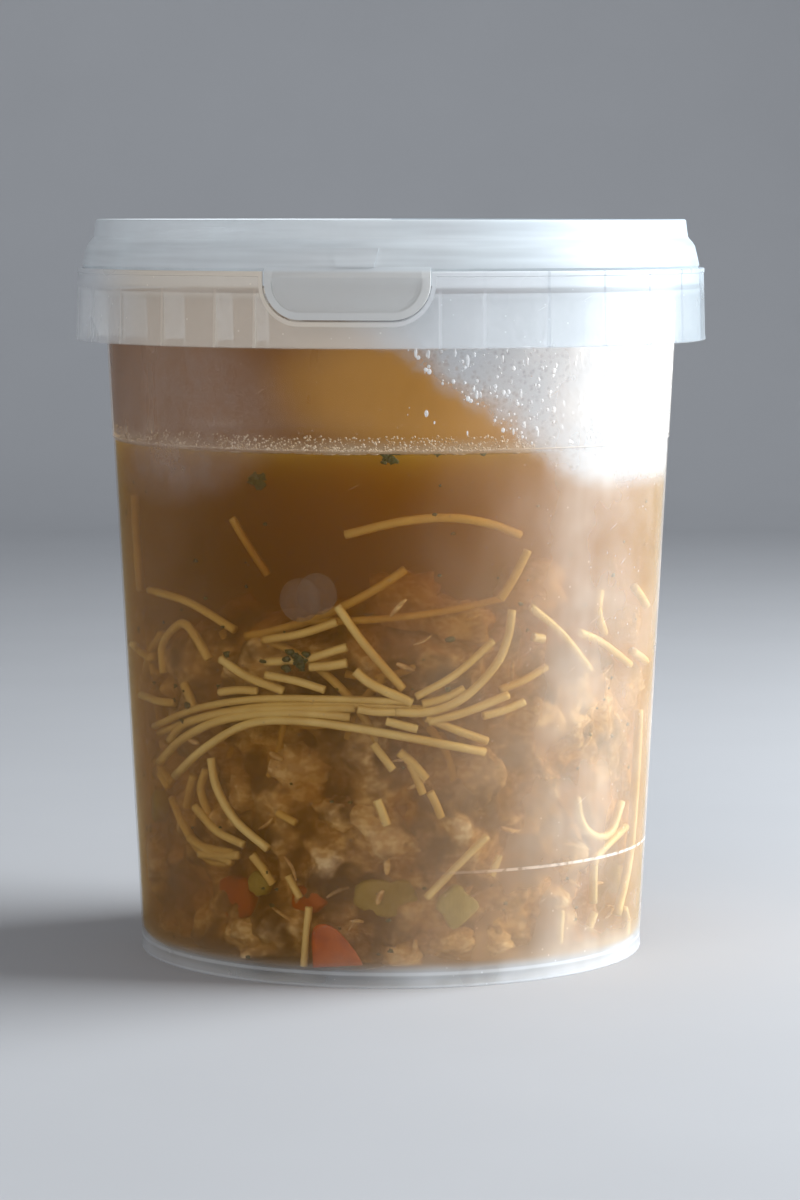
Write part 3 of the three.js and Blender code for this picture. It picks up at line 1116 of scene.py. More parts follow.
SWEEP_NOODLES = {
    "sweep_a": (2.2, 1.6, [(155, 726), (199, 708), (258, 699), (327, 699), (410, 702)]),
    "sweep_b": (2.6, 2.0, [(170, 740), (189, 722), (248, 710), (355, 708)]),
    "sweep_c": (1.4, 1.0, [(175, 776), (205, 748), (248, 724), (298, 721), (367, 730), (485, 752)]),
    "sweep_d": (2.0, 1.6, [(160, 762), (184, 738), (226, 719), (290, 713), (350, 717)]),
    "sweep_e": (1.8, 1.7, [(426, 718), (456, 730), (487, 741)]),
    "sweep_f": (3.0, 2.4, [(160, 733), (205, 716), (270, 705), (340, 704), (425, 709)]),
    "drop_a": (2.0, 0.9, [(373, 744), (383, 757), (393, 770)]),
    "drop_b": (3.0, 2.6, [(399, 752), (413, 764), (426, 779)]),
    "drop_c": (2.8, 2.6, [(410, 764), (417, 779), (423, 794)]),
    "drop_d": (2.0, 2.6, [(430, 792), (436, 804), (441, 817)]),
    "drop_e": (0.9, 0.9, [(377, 800), (382, 812), (387, 825)]),
}
LOWER_NOODLES = {
    "left_a": (2.0, 1.2, [(211, 758), (217, 788), (236, 821), (268, 849)]),
    "left_g": (4.2, 5.0, [(194, 776), (190, 791), (187, 806)]),
    "left_h": (4.4, 3.6, [(172, 798), (182, 822), (198, 844), (234, 853)]),
    "left_i": (5.0, 4.6, [(184, 822), (196, 845), (212, 861), (228, 863)]),
    "left_j": (3.8, 4.6, [(206, 770), (201, 790), (209, 815)]),
    "left_k": (4.6, 4.0, [(150, 742), (158, 762), (172, 782)]),
    "left_b": (2.6, 2.0, [(195, 807), (217, 831), (244, 845)]),
    "left_c": (3.2, 3.6, [(161, 774), (165, 781), (169, 788)]),
    "left_d": (3.2, 2.6, [(200, 854), (220, 856), (239, 855)]),
    "left_e": (2.6, 4.2, [(252, 855), (263, 869), (273, 884)]),
    "left_f": (3.6, 3.0, [(190, 838), (210, 852), (232, 862)]),
    "low_a": (2.6, 2.2, [(288, 876), (294, 887), (300, 898)]),
    "low_upright": (1.6, 1.2, [(309, 907), (306, 938), (304, 966)]),
    "low_slanting": (0.9, 0.9, [(487, 836), (456, 867), (426, 898)]),
    "low_b": (2.0, 1.6, [(499, 855), (495, 866), (491, 876)]),
    "golden": (5.0, 4.0, [(278, 813), (287, 818), (296, 823)]),
}
RIGHT_NOODLES = {
    "right_a": (1.0, 1.8, [(531, 607), (562, 634), (590, 670)]),
    "right_b": (0.8, 1.2, [(579, 632), (602, 643), (629, 664)]),
    "right_c": (0.9, 0.4, [(632, 651), (639, 656), (645, 661)]),
    "right_d": (0.9, 0.4, [(634, 587), (640, 595), (646, 605)]),
    "right_bit": (1.2, 1.2, [(533, 637), (538, 638), (543, 639)]),
    "right_e": (3.4, 2.6, [(500, 690), (524, 680), (546, 667)]),
    "right_f": (2.6, 1.6, [(600, 590), (598, 612), (604, 634)]),
    "hook": (0.4, 0.4, [(577, 798), (579, 816), (586, 830), (598, 837), (611, 831), (621, 802)]),
    "hook_stem": (0.9, 0.6, [(625, 827), (600, 852), (594, 863), (593, 903)]),
    "long_upright": (0.5, 0.5, [(639, 710), (636, 771), (629, 857), (617, 915)]),
    "foot_a": (0.6, 0.5, [(561, 911), (560, 927), (559, 943)]),
    "foot_b": (0.9, 0.8, [(594, 913), (591, 921), (588, 930)]),
    "foot_c": (0.4, 0.4, [(624, 909), (626, 921), (625, 934)]),
}
SHOWN_NOODLES = [UPPER_NOODLES, MIDDLE_NOODLES, SWEEP_NOODLES, LOWER_NOODLES, RIGHT_NOODLES]


def shown_noodle(near, far, pixels):
    """The route of a noodle that the photograph shows."""
    last = len(pixels) - 1
    marks = [
        (u, v, near + (far - near) * n / last)
        for n, (u, v) in enumerate(pixels)
    ]
    steps = max(3, 24 // last)
    return [behind_wall(*mark) for mark in smooth_route(marks, steps)]


def loose_noodle(draw, azimuth, z, depth):
    """The route of a noodle that drifts along behind the wall from a place."""
    length = draw.uniform(8.0, 46.0)
    heading = draw.gauss(math.pi if azimuth > 180.0 else 0.0, 0.6)
    bend = draw.uniform(-0.07, 0.07)
    sink = draw.uniform(-0.04, 0.08)
    step = 1.2
    route = []
    for _ in range(int(length / step)):
        radius = inner_radius(z) - depth
        route.append(round_tub(azimuth, radius, z))
        azimuth += math.degrees(step * math.cos(heading) / radius)
        z = min(max(z + step * math.sin(heading), 5.5), SOUP_LEVEL - 6.0)
        depth = min(max(depth + sink * step, 1.0), 14.0)
        heading += bend
    return route


def noodle_bar(draw, route, radius):
    """One noodle along its route, a little thicker, thinner or flatter than the next."""
    return tube(route, radius * draw.uniform(0.92, 1.08), squash=draw.uniform(0.82, 1.0))


def build_shown_noodles(draw, radius):
    """The noodles where the photograph shows them."""
    front = SoupMesh()
    for group in SHOWN_NOODLES:
        for near, far, pixels in group.values():
            route = shown_noodle(near * 0.6 + radius, far * 0.6 + radius, pixels)
            front.add(*noodle_bar(draw, route, radius))
    front.piece("noodles_front", noodle_finish(), "noodle")


def build_more_noodles(draw, radius):
    """The same kind round the hidden sides, and a few deep at the front left."""
    rest = SoupMesh()
    for n in range(NOODLES_ROUND + NOODLES_DRIFTING):
        azimuth = draw.uniform(72.0, 288.0)
        z = 12.0 + 58.0 * draw.betavariate(2.2, 1.8)
        depth = 0.9 + radius + abs(draw.gauss(0.0, 2.6))
        if n >= NOODLES_ROUND:
            azimuth, z, depth = draw.uniform(-48.0, -10.0), draw.uniform(40.0, 66.0), depth + 2.8
        route = loose_noodle(draw, azimuth, z, depth)
        if len(route) > 2:
            rest.add(*noodle_bar(draw, route, radius))
    rest.piece("noodles_round", noodle_finish(), "noodle")


def meat_finish(name, lift=0.0):
    """Pulled chicken seen in broth: pale fibres, and darker meat with brown gaps painted as the shade
    between shreds. The lift makes it paler.
    """
    finish = Finish(name)
    place = finish.place()
    lumps = finish.noise(place, 7.5, detail=2.0, roughness=0.5, distortion=0.3)
    fibre = finish.noise(finish.stretch(place, 1.0, 1.0, 1.5), 1.8, detail=2.0)
    tone = finish.smooth(lumps + (fibre - 0.5) * 0.16 + lift, 0.32, 0.62)
    pale = (0.86, 0.7, 0.5, 1.0)
    meat = finish.mix(finish.smooth(fibre, 0.4, 0.62) * tone, colour("chicken"), pale)
    # The dark colour is partly darker meat and partly painted shade in the gaps between shreds.
    shader = finish.principled(
        Base_Color=finish.mix(tone, colour("dark_meat_and_gap_shade"), meat),
        Roughness=0.45 + fibre * 0.2,
        Normal=finish.bump(fibre + lumps, 0.12, 0.7),
    )
    return finish.done(shader)


def bed_depth(azimuth, z):
    """How far behind the wall the bed of chicken lies, in millimetres."""
    place = round_tub(azimuth, NOISE_RADIUS, z)
    broad = noise.fractal(place / 13.0, 1.0, 2.0, 3)
    crumbs = noise.fractal(place / 5.0 + Vector((9, 2, 5)), 0.9, 2.0, 2)
    top = 60.0 + 7.0 * noise.noise(Vector((azimuth / 40.0, 3.1, 0.0)))
    over = max(0.0, z - top)
    nearest = 1.2 + 1.6 * min(1.0, max(0.0, (z - 30.0) / 12.0))
    return max(nearest, 5.0 - 4.4 * broad - 2.8 * crumbs + over * 1.6)


def murk_finish():
    """The depth of the broth, where no light comes through."""
    finish = Finish("murk_finish")
    place = finish.place()
    cloud = finish.noise(place, 16.0, detail=3.0)
    redder = (0.32, 0.09, 0.01, 1.0)
    shader = finish.principled(
        Base_Color=finish.mix(finish.smooth(cloud, 0.35, 0.65), (0.27, 0.125, 0.016, 1.0), redder),
        Roughness=0.5 + cloud * 0.2,
        Normal=finish.bump(cloud, 0.3, 2.0),
    )
    return finish.done(shader)


def build_murk():
    """A dark heart to the broth above the chicken."""
    inset = 15.0
    top = SOUP_LEVEL - 1.6
    profile = [
        (0, 58),
        (inner_radius(58) - inset, 60),
        (inner_radius(75) - inset, 75),
        (inner_radius(90) - inset, 90),
        (inner_radius(top) - inset - 1.5, top - 1),
        (inner_radius(top) - inset - 4, top),
        (0, top),
    ]
    points, faces = turned(profile, 120)
    murk = new_piece("murk", points, faces, murk_finish(), "broth")
    mark_sharp(murk, 60)


def build_chicken():
    """The bed of pulled chicken that fills the lower part, as one lumpy body."""
    steps, rows = 340, 110
    low, high = FLOOR_TOP + 0.6, 78.0
    points = []
    for row in range(rows + 1):
        z = low + (high - low) * row / rows
        for i in range(steps):
            azimuth = 360.0 * i / steps
            radius = max(6.0, inner_radius(z) - bed_depth(azimuth, z))
            points.append(round_tub(azimuth, radius, z))
    faces = band_faces(rows + 1, steps)
    faces.append(tuple(range(steps - 1, -1, -1)))
    faces.append(tuple(rows * steps + i for i in range(steps)))
    new_piece("chicken_bed", points, faces, meat_finish("bed_finish"), "chicken")


# Pieces of chicken that the photograph shows: pixel, depth behind the wall and radii, in mm
CHICKEN_CHUNKS = {
    "bright": ((383, 830), 1.2, (6.6, 5.0, 5.6)),
    "bright_left": ((340, 812), 2.4, (4.2, 3.6, 3.4)),
    "under_sweep": ((300, 765), 3.0, (6.0, 4.0, 4.6)),
    "beside_sweep": ((250, 790), 3.6, (4.6, 3.8, 4.0)),
    "right_of_centre": ((482, 775), 1.6, (4.4, 3.4, 6.2)),
    "right_upper": ((462, 622), 4.6, (7.0, 4.0, 5.2)),
    "upper": ((405, 600), 7.4, (8.0, 4.0, 5.0)),
    "upper_right": ((530, 590), 5.6, (6.5, 4.0, 6.0)),
    "right_side": ((560, 720), 1.6, (5.2, 4.0, 7.0)),
    "right_edge": ((610, 760), 1.4, (5.0, 4.6, 7.6)),
    "right_low": ((560, 850), 1.4, (5.6, 4.2, 5.6)),
    "low_pale": ((402, 957), 1.0, (4.0, 3.0, 3.0)),
    "low_pale_right": ((494, 942), 0.9, (3.6, 2.6, 2.6)),
    "low_right": ((545, 900), 1.2, (4.6, 3.6, 4.0)),
    "low_left": ((260, 930), 2.2, (4.8, 3.4, 3.6)),
    "left_foot": ((180, 920), 2.4, (4.4, 4.0, 4.0)),
    "centre_foot": ((452, 940), 1.6, (4.6, 3.4, 3.0)),
    "left_lower": ((165, 860), 2.6, (4.8, 4.4, 5.2)),
}


def shred(draw, azimuth, z, depth, length, width):
    """One pulled fibre bundle lying behind the wall."""
    heading = draw.uniform(0.0, math.pi)
    bend = draw.uniform(-0.12, 0.12)
    route = []
    for _ in range(8):
        radius = inner_radius(z) - depth
        route.append(round_tub(azimuth, radius, z))
        azimuth += math.degrees(length / 8 * math.cos(heading) / radius)
        z = min(max(z + length / 8 * math.sin(heading), 4.5), SOUP_LEVEL - 3.0)
        heading += bend
    squash = draw.uniform(0.35, 0.7)
    return tube(route, width, sides=6, squash=squash, turn=draw.uniform(0, 3), taper=0.5)


def kept_inside(point):
    """The point itself, or the nearest one that is clear of the wall and the floor."""
    limit = inner_radius(point.z) - 0.8
    radius = math.hypot(point.x, point.y)
    shrink = min(1.0, limit / max(radius, 1.0))
    return Vector((point.x * shrink, point.y * shrink, max(point.z, FLOOR_TOP + 0.5)))


def build_chunks():
    """The larger pieces of chicken, and the same kind all round."""
    draw = random.Random(7)
    chunks = SoupMesh()
    for n, ((u, v), depth, radii) in enumerate(CHICKEN_CHUNKS.values()):
        points, faces = lump(behind_wall(u, v, depth + 0.6 + radii[1]), radii, n)
        chunks.add([kept_inside(point) for point in points], faces)
    for n in range(MORE_CHUNKS):
        azimuth = draw.uniform(*HIDDEN_SIDES)
        z = 8.0 + 62.0 * draw.random()
        size = draw.uniform(2.6, 6.4)
        centre = round_tub(azimuth, inner_radius(z) - draw.uniform(0.8, 3.0) - size, z)
        radii = [size * draw.uniform(0.7, 1.2) for _ in range(3)]
        points, faces = lump(centre, radii, 40 + n)
        chunks.add([kept_inside(point) for point in points], faces)
    chunks.piece("chicken_chunks", meat_finish("chunk_finish", 0.1), "chicken")


def build_shreds():
    """Small pulled shreds between and on the chunks, more of them to the right of the front."""
    draw = random.Random(19)
    shreds = SoupMesh()
    for _ in range(SHREDS):
        azimuth = draw.uniform(0.0, 360.0)
        z = 4.5 + 68.0 * draw.random() ** 1.15
        crowd = 0.75 if -75.0 < (azimuth + 180.0) % 360.0 - 180.0 < -5.0 else 0.0
        if z > 28.0 and draw.random() < crowd:
            continue
        depth = 2.4 + abs(draw.gauss(0.0, 1.8))
        length = draw.uniform(2.5, 6.0)
        width = draw.uniform(0.4, 1.0)
        shreds.add(*shred(draw, azimuth, z, depth, length, width))
    shreds.piece("chicken_shreds", meat_finish("shred_finish", 0.16), "chicken")


# Cut vegetables: pixel of the middle, depth, half width, half height, thickness and lean. The
# wedge has the pixels of its outline instead.
CARROTS = {
    "left": ((214, 902), 5.0, 5.2, 4.6, 3.0, 0.2),
    "middle": ((298, 904), 4.0, 3.8, 2.8, 3.0, -0.3),
}
CARROT_WEDGE = [(313, 968), (312, 932), (322, 924), (336, 929), (349, 943), (359, 957), (364, 968)]
CELERIES = {
    "diamond": ((460, 908), 1.9, 4.0, 4.0, 2.4, 0.78),
    "olive": ((386, 902), 4.8, 7.0, 4.2, 2.6, 0.1),
    "left": ((243, 888), 4.2, 2.6, 2.4, 2.0, 0.6),
}


def slice_faces(rings, count):
    """The two flat sides of a slice and the band of its edge, for rings that run inwards."""
    last = rings * count - 1
    faces = [tuple(range(count)), tuple(last - i for i in range(count))]
    faces.extend((a, d, c, b) for a, b, c, d in band_faces(rings, count))
    return faces


def cut_piece(azimuth, z, depth, half_width, half_height, thickness, lean, seed):
    """A cooked slice with a rounded outline and softened edges."""
    across, up, outward = facing(azimuth)
    centre = round_tub(azimuth, inner_radius(z) - depth, z)
    columns, rings = 28, ((0.84, 0.0), (0.97, 0.12), (1.0, 0.4), (0.98, 0.85), (0.86, 1.0))
    points = []
    for size, back in rings:
        for i in range(columns):
            turn = 2 * math.pi * i / columns
            wobble = 1 + 0.3 * noise.noise(Vector((math.cos(turn), math.sin(turn), seed * 1.7)) * 1.6)
            square = 1 / max(abs(math.cos(turn)), abs(math.sin(turn))) ** 0.35
            x = math.cos(turn) * half_width * size * wobble * square * 0.85
            y = math.sin(turn) * half_height * size * wobble * square * 0.85
            flat = across * (x * math.cos(lean) - y * math.sin(lean))
            flat += up * (x * math.sin(lean) + y * math.cos(lean))
            points.append(centre + flat - outward * thickness * back)
    return points, slice_faces(len(rings), columns)


def cut_wedge(pixels):
    """A thick quarter slice against the wall, with the outline that the pixels give."""
    outline = smooth_route(pixels, 4)[:-1]
    middle = sum(outline, Vector((0.0, 0.0))) / len(outline)
    points = []
    rings = ((0.8, 0.5), (0.97, 0.6), (1.0, 1.0), (0.98, 3.0), (0.85, 3.6))
    for size, depth in rings:
        for mark in outline:
            u, v = middle + (mark - middle) * size
            points.append(behind_wall(u, v, depth))
    return points, slice_faces(len(rings), len(outline))


def build_cuts(name, shown, seed, finish, slot, wedge=None):
    """The cuts that the photograph shows, and a few more round the back."""
    draw = random.Random(seed)
    cuts = SoupMesh()
    if wedge:
        cuts.add(*cut_wedge(wedge))
    for n, ((u, v), depth, wide, high, thick, lean) in enumerate(shown.values()):
        azimuth, z = on_wall(u, v)
        cuts.add(*cut_piece(azimuth, z, depth, wide, high, thick, lean, seed + n))
    for n in range(MORE_CUTS):
        azimuth, z = draw.uniform(*HIDDEN_SIDES), 6.5 + 26.0 * draw.random() ** 1.6
        wide, high = draw.uniform(2.6, 4.4), draw.uniform(2.2, 4.2)
        depth, lean = draw.uniform(0.9, 3.4), draw.uniform(0.0, 3.0)
        cuts.add(*cut_piece(azimuth, z, depth, wide, high, 2.6, lean, seed + 10 + n))
    cuts.piece(name, finish, slot)


def carrot_finish():
    """Cooked carrot: a deeper rim, paler rays and a soft grain."""
    finish = Finish("carrot_finish")
    place = finish.place()
    tone = finish.noise(place, 2.6, detail=3.0)
    grain = finish.noise(finish.stretch(place, 2.5, 2.5, 0.9), 1.0, detail=2.0)
    deep = (0.36, 0.06, 0.008, 1.0)
    shader = finish.principled(
        Base_Color=finish.mix(finish.smooth(tone + grain * 0.3, 0.4, 0.8), deep, colour("carrot")),
        Roughness=0.35 + grain * 0.2,
        Normal=finish.bump(grain, 0.3, 0.3),
    )
    return finish.done(shader)


def celery_finish():
    """Cooked celery: olive flesh with paler strings."""
    finish = Finish("celery_finish")
    place = finish.place()
    tone = finish.noise(place, 3.0, detail=2.0)
    strings = finish.noise(finish.stretch(place, 3.0, 3.0, 0.5), 1.0, detail=1.0)
    pale = (0.44, 0.43, 0.15, 1.0)
    shader = finish.principled(
        Base_Color=finish.mix(finish.smooth(tone + strings * 0.5, 0.5, 0.95), colour("celery"), pale),
        Roughness=0.35 + strings * 0.15,
        Normal=finish.bump(strings, 0.3, 0.3),
    )
    return finish.done(shader)


def herb_finish():
    """Wet parsley, dark and uneven."""
    finish = Finish("herb_finish")
    place = finish.place()
    tone = finish.noise(place, 0.8, detail=3.0)
    shader = finish.principled(
        Base_Color=finish.mix(tone, colour("herb"), (0.06, 0.085, 0.02, 1.0)),
        Roughness=0.35 + tone * 0.2,
        Normal=finish.bump(tone, 0.4, 0.15),
    )
    return finish.done(shader)


# Chopped herb: pixel, depth behind the wall and size in mm
HERB_FLECKS = {
    "surface_large": ((385, 459), 0.7, 2.6),
    "surface_a": ((396, 453), 0.4, 1.4),
    "surface_b": ((438, 454), 0.4, 1.2),
    "surface_c": ((485, 453), 0.4, 1.1),
    "hazy": ((250, 484), 2.0, 3.4),
    "film": ((403, 364), 0.3, 0.7),
    "cluster_a": ((290, 658), 0.8, 2.5),
    "cluster_b": ((298, 664), 0.7, 2.0),
    "cluster_c": ((284, 669), 0.8, 1.3),
    "cluster_d": ((304, 655), 0.9, 1.2),
    "cluster_e": ((260, 662), 1.0, 1.0),
    "loop_a": ((222, 655), 1.0, 1.3),
    "loop_b": ((213, 687), 1.0, 0.8),
    "left_a": ((181, 706), 1.0, 1.5),
    "left_b": ((175, 722), 1.2, 1.1),
    "left_c": ((146, 683), 1.2, 0.9),
    "left_d": ((168, 687), 1.1, 0.8),
    "dark_a": ((452, 640), 1.4, 1.2),
    "dark_b": ((449, 690), 0.8, 0.8),
    "right_a": ((590, 605), 0.9, 0.8),
    "right_b": ((617, 678), 0.9, 0.6),
    "low_a": ((391, 952), 0.7, 1.0),
    "low_b": ((508, 904), 0.7, 0.8),
    "low_c": ((579, 920), 0.7, 0.7),
    "low_d": ((378, 955), 0.6, 0.6),
    "low_e": ((425, 889), 0.7, 0.6),
    "low_f": ((245, 958), 0.8, 0.7),
}


def fleck(draw, azimuth, z, depth, size):
    """A torn scrap of leaf, slightly curled."""
    across, up, outward = facing(azimuth)
    centre = round_tub(azimuth, inner_radius(z) - depth, z)
    count = draw.randint(7, 10)
    points = []
    for back in (0.0, 0.12):
        points.append(centre - outward * back)
    for i in range(count):
        turn = 2 * math.pi * i / count
        reach = size * draw.uniform(0.4, 0.95)
        curl = draw.uniform(-0.15, 0.25)
        flat = across * math.cos(turn) * reach + up * math.sin(turn) * reach * 0.7
        points.append(centre + flat - outward * curl * size)
        points.append(centre + flat - outward * (curl * size + 0.12))
    faces = []
    for i in range(count):
        j = (i + 1) % count
        a, b = 2 + 2 * i, 2 + 2 * j
        faces.extend([(0, a, b), (1, b + 1, a + 1), (a, a + 1, b + 1, b)])
    return points, faces


def build_herbs():
    """Flecks of parsley where the photograph shows them, and fine ones everywhere."""
    draw = random.Random(23)
    herbs = SoupMesh()
    for (u, v), depth, size in HERB_FLECKS.values():
        azimuth, z = on_wall(u, v)
        torn = size >= 1.6
        for _ in range(7 if torn else 1):
            spread = size * 0.34 if torn else 0.0
            part = size * draw.uniform(0.3, 0.6) if torn else size
            aside, above = draw.gauss(0.0, spread), draw.gauss(0.0, spread * 0.7)
            herbs.add(*fleck(draw, azimuth + aside, z + above, depth + 0.3 * draw.random(), part))
    for _ in range(FINE_HERBS):
        azimuth, z = draw.uniform(0.0, 360.0), 4.0 + 88.0 * draw.random()
        away = abs((azimuth + 180.0) % 360.0 - 180.0)
        size = draw.uniform(0.4, 0.8) if away < 75.0 else draw.uniform(0.6, 1.9)
        herbs.add(*fleck(draw, azimuth, z, 0.6 + abs(draw.gauss(0.0, 1.5)), size))
    herbs.piece("herbs", herb_finish(), "herb")


# What floats on the soup and clings above it

def fat_finish():
    """Droplets of fat and fine froth."""
    finish = Finish("fat_finish")
    place = finish.place()
    tone = finish.noise(place, 1.6, detail=2.0)
    shader = finish.principled(
        Base_Color=finish.mix(finish.smooth(tone, 0.3, 0.7), (0.5, 0.33, 0.17, 1.0), colour("fat")),
        Roughness=0.15 + tone * 0.2,
        Coat_Weight=0.4,
    )
    return finish.done(see_through(finish, 0.5 + tone * 0.4, shader))


def build_froth(draw):
    """A band of fine froth along the wall, thickest at the front."""
    froth = SoupMesh()
    for _ in range(FROTH_TRIES):
        azimuth = draw.uniform(-180.0, 180.0)
        if not -33.0 < azimuth < 36.0 and draw.random() < 0.5:
            continue
        size = 0.07 + 0.18 * draw.random() ** 1.5
        climb = draw.random() ** 2 * 2.6
        z = SOUP_LEVEL + 0.1 + size + climb
        radius = inner_radius(z) + INTO_WALL - 0.05
        across, up, outward = facing(azimuth)
        axes = (across * size, up * size, outward * size * 0.4)
        froth.add(*ball(round_tub(azimuth, radius, z), axes, 6, 4))
    let_light_through(froth.piece("froth", fat_finish(), "fat"))


def build_fat_drops(draw):
    """Flat drops of fat across the soup's surface."""
    drops = SoupMesh()
    for _ in range(FAT_DROPS):
        size = draw.uniform(0.25, 1.3)
        radius = (inner_radius(SOUP_LEVEL) - 1.2 - size) * math.sqrt(draw.uniform(0.1, 1.0))
        azimuth = draw.uniform(0.0, 360.0)
        across, up, outward = facing(azimuth)
        axes = (across * size, outward * size, up * 0.16)
        drops.add(*ball(round_tub(azimuth, radius, SOUP_LEVEL - 0.5), axes, 10, 4))
    drops.piece("fat_drops", fat_finish(), "fat")


def shell(low, high, inset):
    """An open sleeve that follows the wall, inset from its inner face."""
    rows, steps = 40, 180
    points = []
    for row in range(rows + 1):
        z = low + (high - low) * row / rows
        for i in range(steps):
            points.append(round_tub(360.0 * i / steps, inner_radius(z) - inset, z))
    return points, band_faces(rows + 1, steps)


def film_finish():
    """A film of broth left on the wall of the headspace, thin where it has run off, with a painted golden
    glow where light shines through it.
    """
    finish = Finish("film_finish")
    place = finish.place()
    azimuth = finish.azimuth(place)
    _, _, z = finish.axes(place)
    runs = finish.noise(finish.stretch(place, 1.0, 1.0, 0.3), 8.0, detail=3.0)
    edge = azimuth + (z - SOUP_LEVEL) * 1.5 + (runs - 0.5) * 16.0
    fogged = finish.smooth(edge, 46.0, 34.0)
    round_back = finish.smooth(finish.maths("ABSOLUTE", azimuth), 120.0, 150.0)
    wet = finish.maths("MAXIMUM", fogged, round_back)
    # Painted light: a golden glow in the middle of the front, where light from the right comes through
    # the headspace.
    golden = finish.spot(azimuth, z, (10.0, 108.0), (30.0, 11.0))
    tint = finish.mix(golden, (0.21, 0.08, 0.011, 1.0), (0.46, 0.21, 0.03, 1.0))
    rim = finish.smooth(z, SOUP_LEVEL + 3.0, SOUP_LEVEL + 0.1)
    cover = finish.maths("MINIMUM", wet * (0.72 + runs * 0.4), 0.96)
    tint = finish.mix(rim * runs * 1.2, tint, (0.48, 0.34, 0.2, 1.0))
    shader = finish.principled(Base_Color=tint, Roughness=0.2 + runs * 0.2)
    return finish.done(see_through(finish, cover, shader))


def fog_finish():
    """Condensation: white fog on the right, and on the left a mottled haze and a strip below it."""
    finish = Finish("fog_finish")
    place = finish.place()
    azimuth = finish.azimuth(place)
    _, _, z = finish.axes(place)
    mottle = finish.noise(place, 5.0, detail=2.0, roughness=0.6)
    fine = finish.noise(place, 0.45, detail=1.0, roughness=0.7)
    beaded = finish.smooth(finish.cells(place, 1.1), 0.1, 0.55)
    edge = azimuth + (z - FOG_LEVEL) * FOG_LEAN + (mottle - 0.5) * 10.0
    white = finish.smooth(edge, 25.0, 40.0) * finish.smooth(z, 87.0, 94.0)
    white = white * finish.smooth(azimuth, 160.0, 120.0) * (0.58 + fine * 0.3 + beaded * 0.22)
    speckle = finish.smooth(fine + mottle * 0.7, 0.55, 1.1)
    haze = finish.spot(azimuth, z, on_wall(*HEADSPACE_HAZE), (24.0, 13.0), 0.8)
    haze = haze * (0.2 + mottle * 0.18 + speckle * 0.16)
    strip = finish.spot(azimuth, z, on_wall(*HAZE_BELOW_LEVEL), (18.0, 5.0), 0.9) * (mottle * 0.34)
    cover = finish.maths("MAXIMUM", white, haze + strip)
    pinkish = (0.36, 0.27, 0.23, 1.0)
    shader = finish.principled(
        Base_Color=finish.mix(finish.smooth(white, 0.0, 0.2), pinkish, colour("fog")),
        Roughness=0.5 + fine * 0.2,
        Normal=finish.bump(beaded, 0.12, 0.15),
    )
    return finish.done(see_through(finish, finish.maths("MINIMUM", cover, 0.93), shader))


def build_film():
    """The film of broth and the fog, each on a sleeve within the thickness of the wall."""
    sleeve = shell(SOUP_LEVEL - 0.2, 124.0, 0.05 - INTO_WALL)
    let_light_through(new_piece("broth_film", *sleeve, film_finish(), "broth"))
    sleeve = shell(80.0, 124.0, -0.1 - INTO_WALL)
    let_light_through(new_piece("fog", *sleeve, fog_finish(), "condensation"))


def bead_finish():
    """Clear water painted near white for the glints on its drops."""
    finish = Finish("bead_finish")
    place = finish.place()
    tone = finish.noise(place, 1.2, detail=1.0)
    # Painted highlight: the near-white colour stands in for glints of light on clear water.
    shader = finish.principled(
        Base_Color=finish.mix(tone, (0.75, 0.78, 0.8, 1.0), (0.95, 0.96, 0.97, 1.0)),
        Roughness=0.08 + tone * 0.1,
        Coat_Weight=0.6,
    )
    return finish.done(see_through(finish, 0.35 + tone * 0.4, shader))


def build_beads():
    """Drops and short runs of water in the headspace, set into the wall like the fog."""
    draw = random.Random(53)
    beads = SoupMesh()
    for _ in range(WATER_DROP_TRIES):
        azimuth, z = draw.uniform(2.0, 150.0), draw.uniform(SOUP_LEVEL + 1.0, 123.0)
        across_fog = azimuth + (z - FOG_LEVEL) * FOG_LEAN
        if across_fog < 29.0 and draw.random() < 0.94:
            continue
        size = 0.1 + 0.38 * draw.random() ** 2.5
        long = draw.uniform(1.0, 1.3) if draw.random() < 0.85 else draw.uniform(1.8, 3.6)
        across, up, outward = facing(azimuth)
        axes = (across * size, up * size * long, outward * size * 0.35)
        beads.add(*ball(round_tub(azimuth, inner_radius(z) + INTO_WALL + 0.1, z), axes, 8, 5))
    let_light_through(beads.piece("beads", bead_finish(), "condensation"))


# Flat pockets of air against the wall: pixel and radius in mm
AIR_POCKETS = {
    "large": ((300, 600), 4.1),
    "small": ((317, 594), 3.9),
}


def air_finish():
    """A grey-lilac pocket that lets the broth through."""
    finish = Finish("air_finish")
    place = finish.place()
    tone = finish.noise(place, 2.0, detail=2.0)
    shader = finish.principled(
        Base_Color=finish.mix(tone, (0.25, 0.17, 0.14, 1.0), (0.36, 0.27, 0.25, 1.0)),
        Roughness=0.4 + tone * 0.2,
    )
    return finish.done(see_through(finish, 0.08 + tone * 0.3, shader))


def build_air():
    """The two flat pockets, just behind the wall."""
    pockets = SoupMesh()
    for (u, v), radius in AIR_POCKETS.values():
        across, up, outward = facing(on_wall(u, v)[0])
        axes = (across * radius, up * radius, outward * 0.12)
        pockets.add(*ball(behind_wall(u, v, 0.9), axes, 40, 5))
    pockets.piece("air_pockets", air_finish(), "condensation")


# The stage

def stage_finish(name, red, green, blue):
    """A matt surface with a faint unevenness."""
    finish = Finish(name)
    place = finish.place()
    grain = finish.noise(place, 60.0, detail=3.0)
    darker = (red * 0.94, green * 0.94, blue * 0.94, 1.0)
    shader = finish.principled(
        Base_Color=finish.mix(grain, darker, (red, green, blue, 1.0)),
        Roughness=0.7,
    )
    return finish.done(shader)


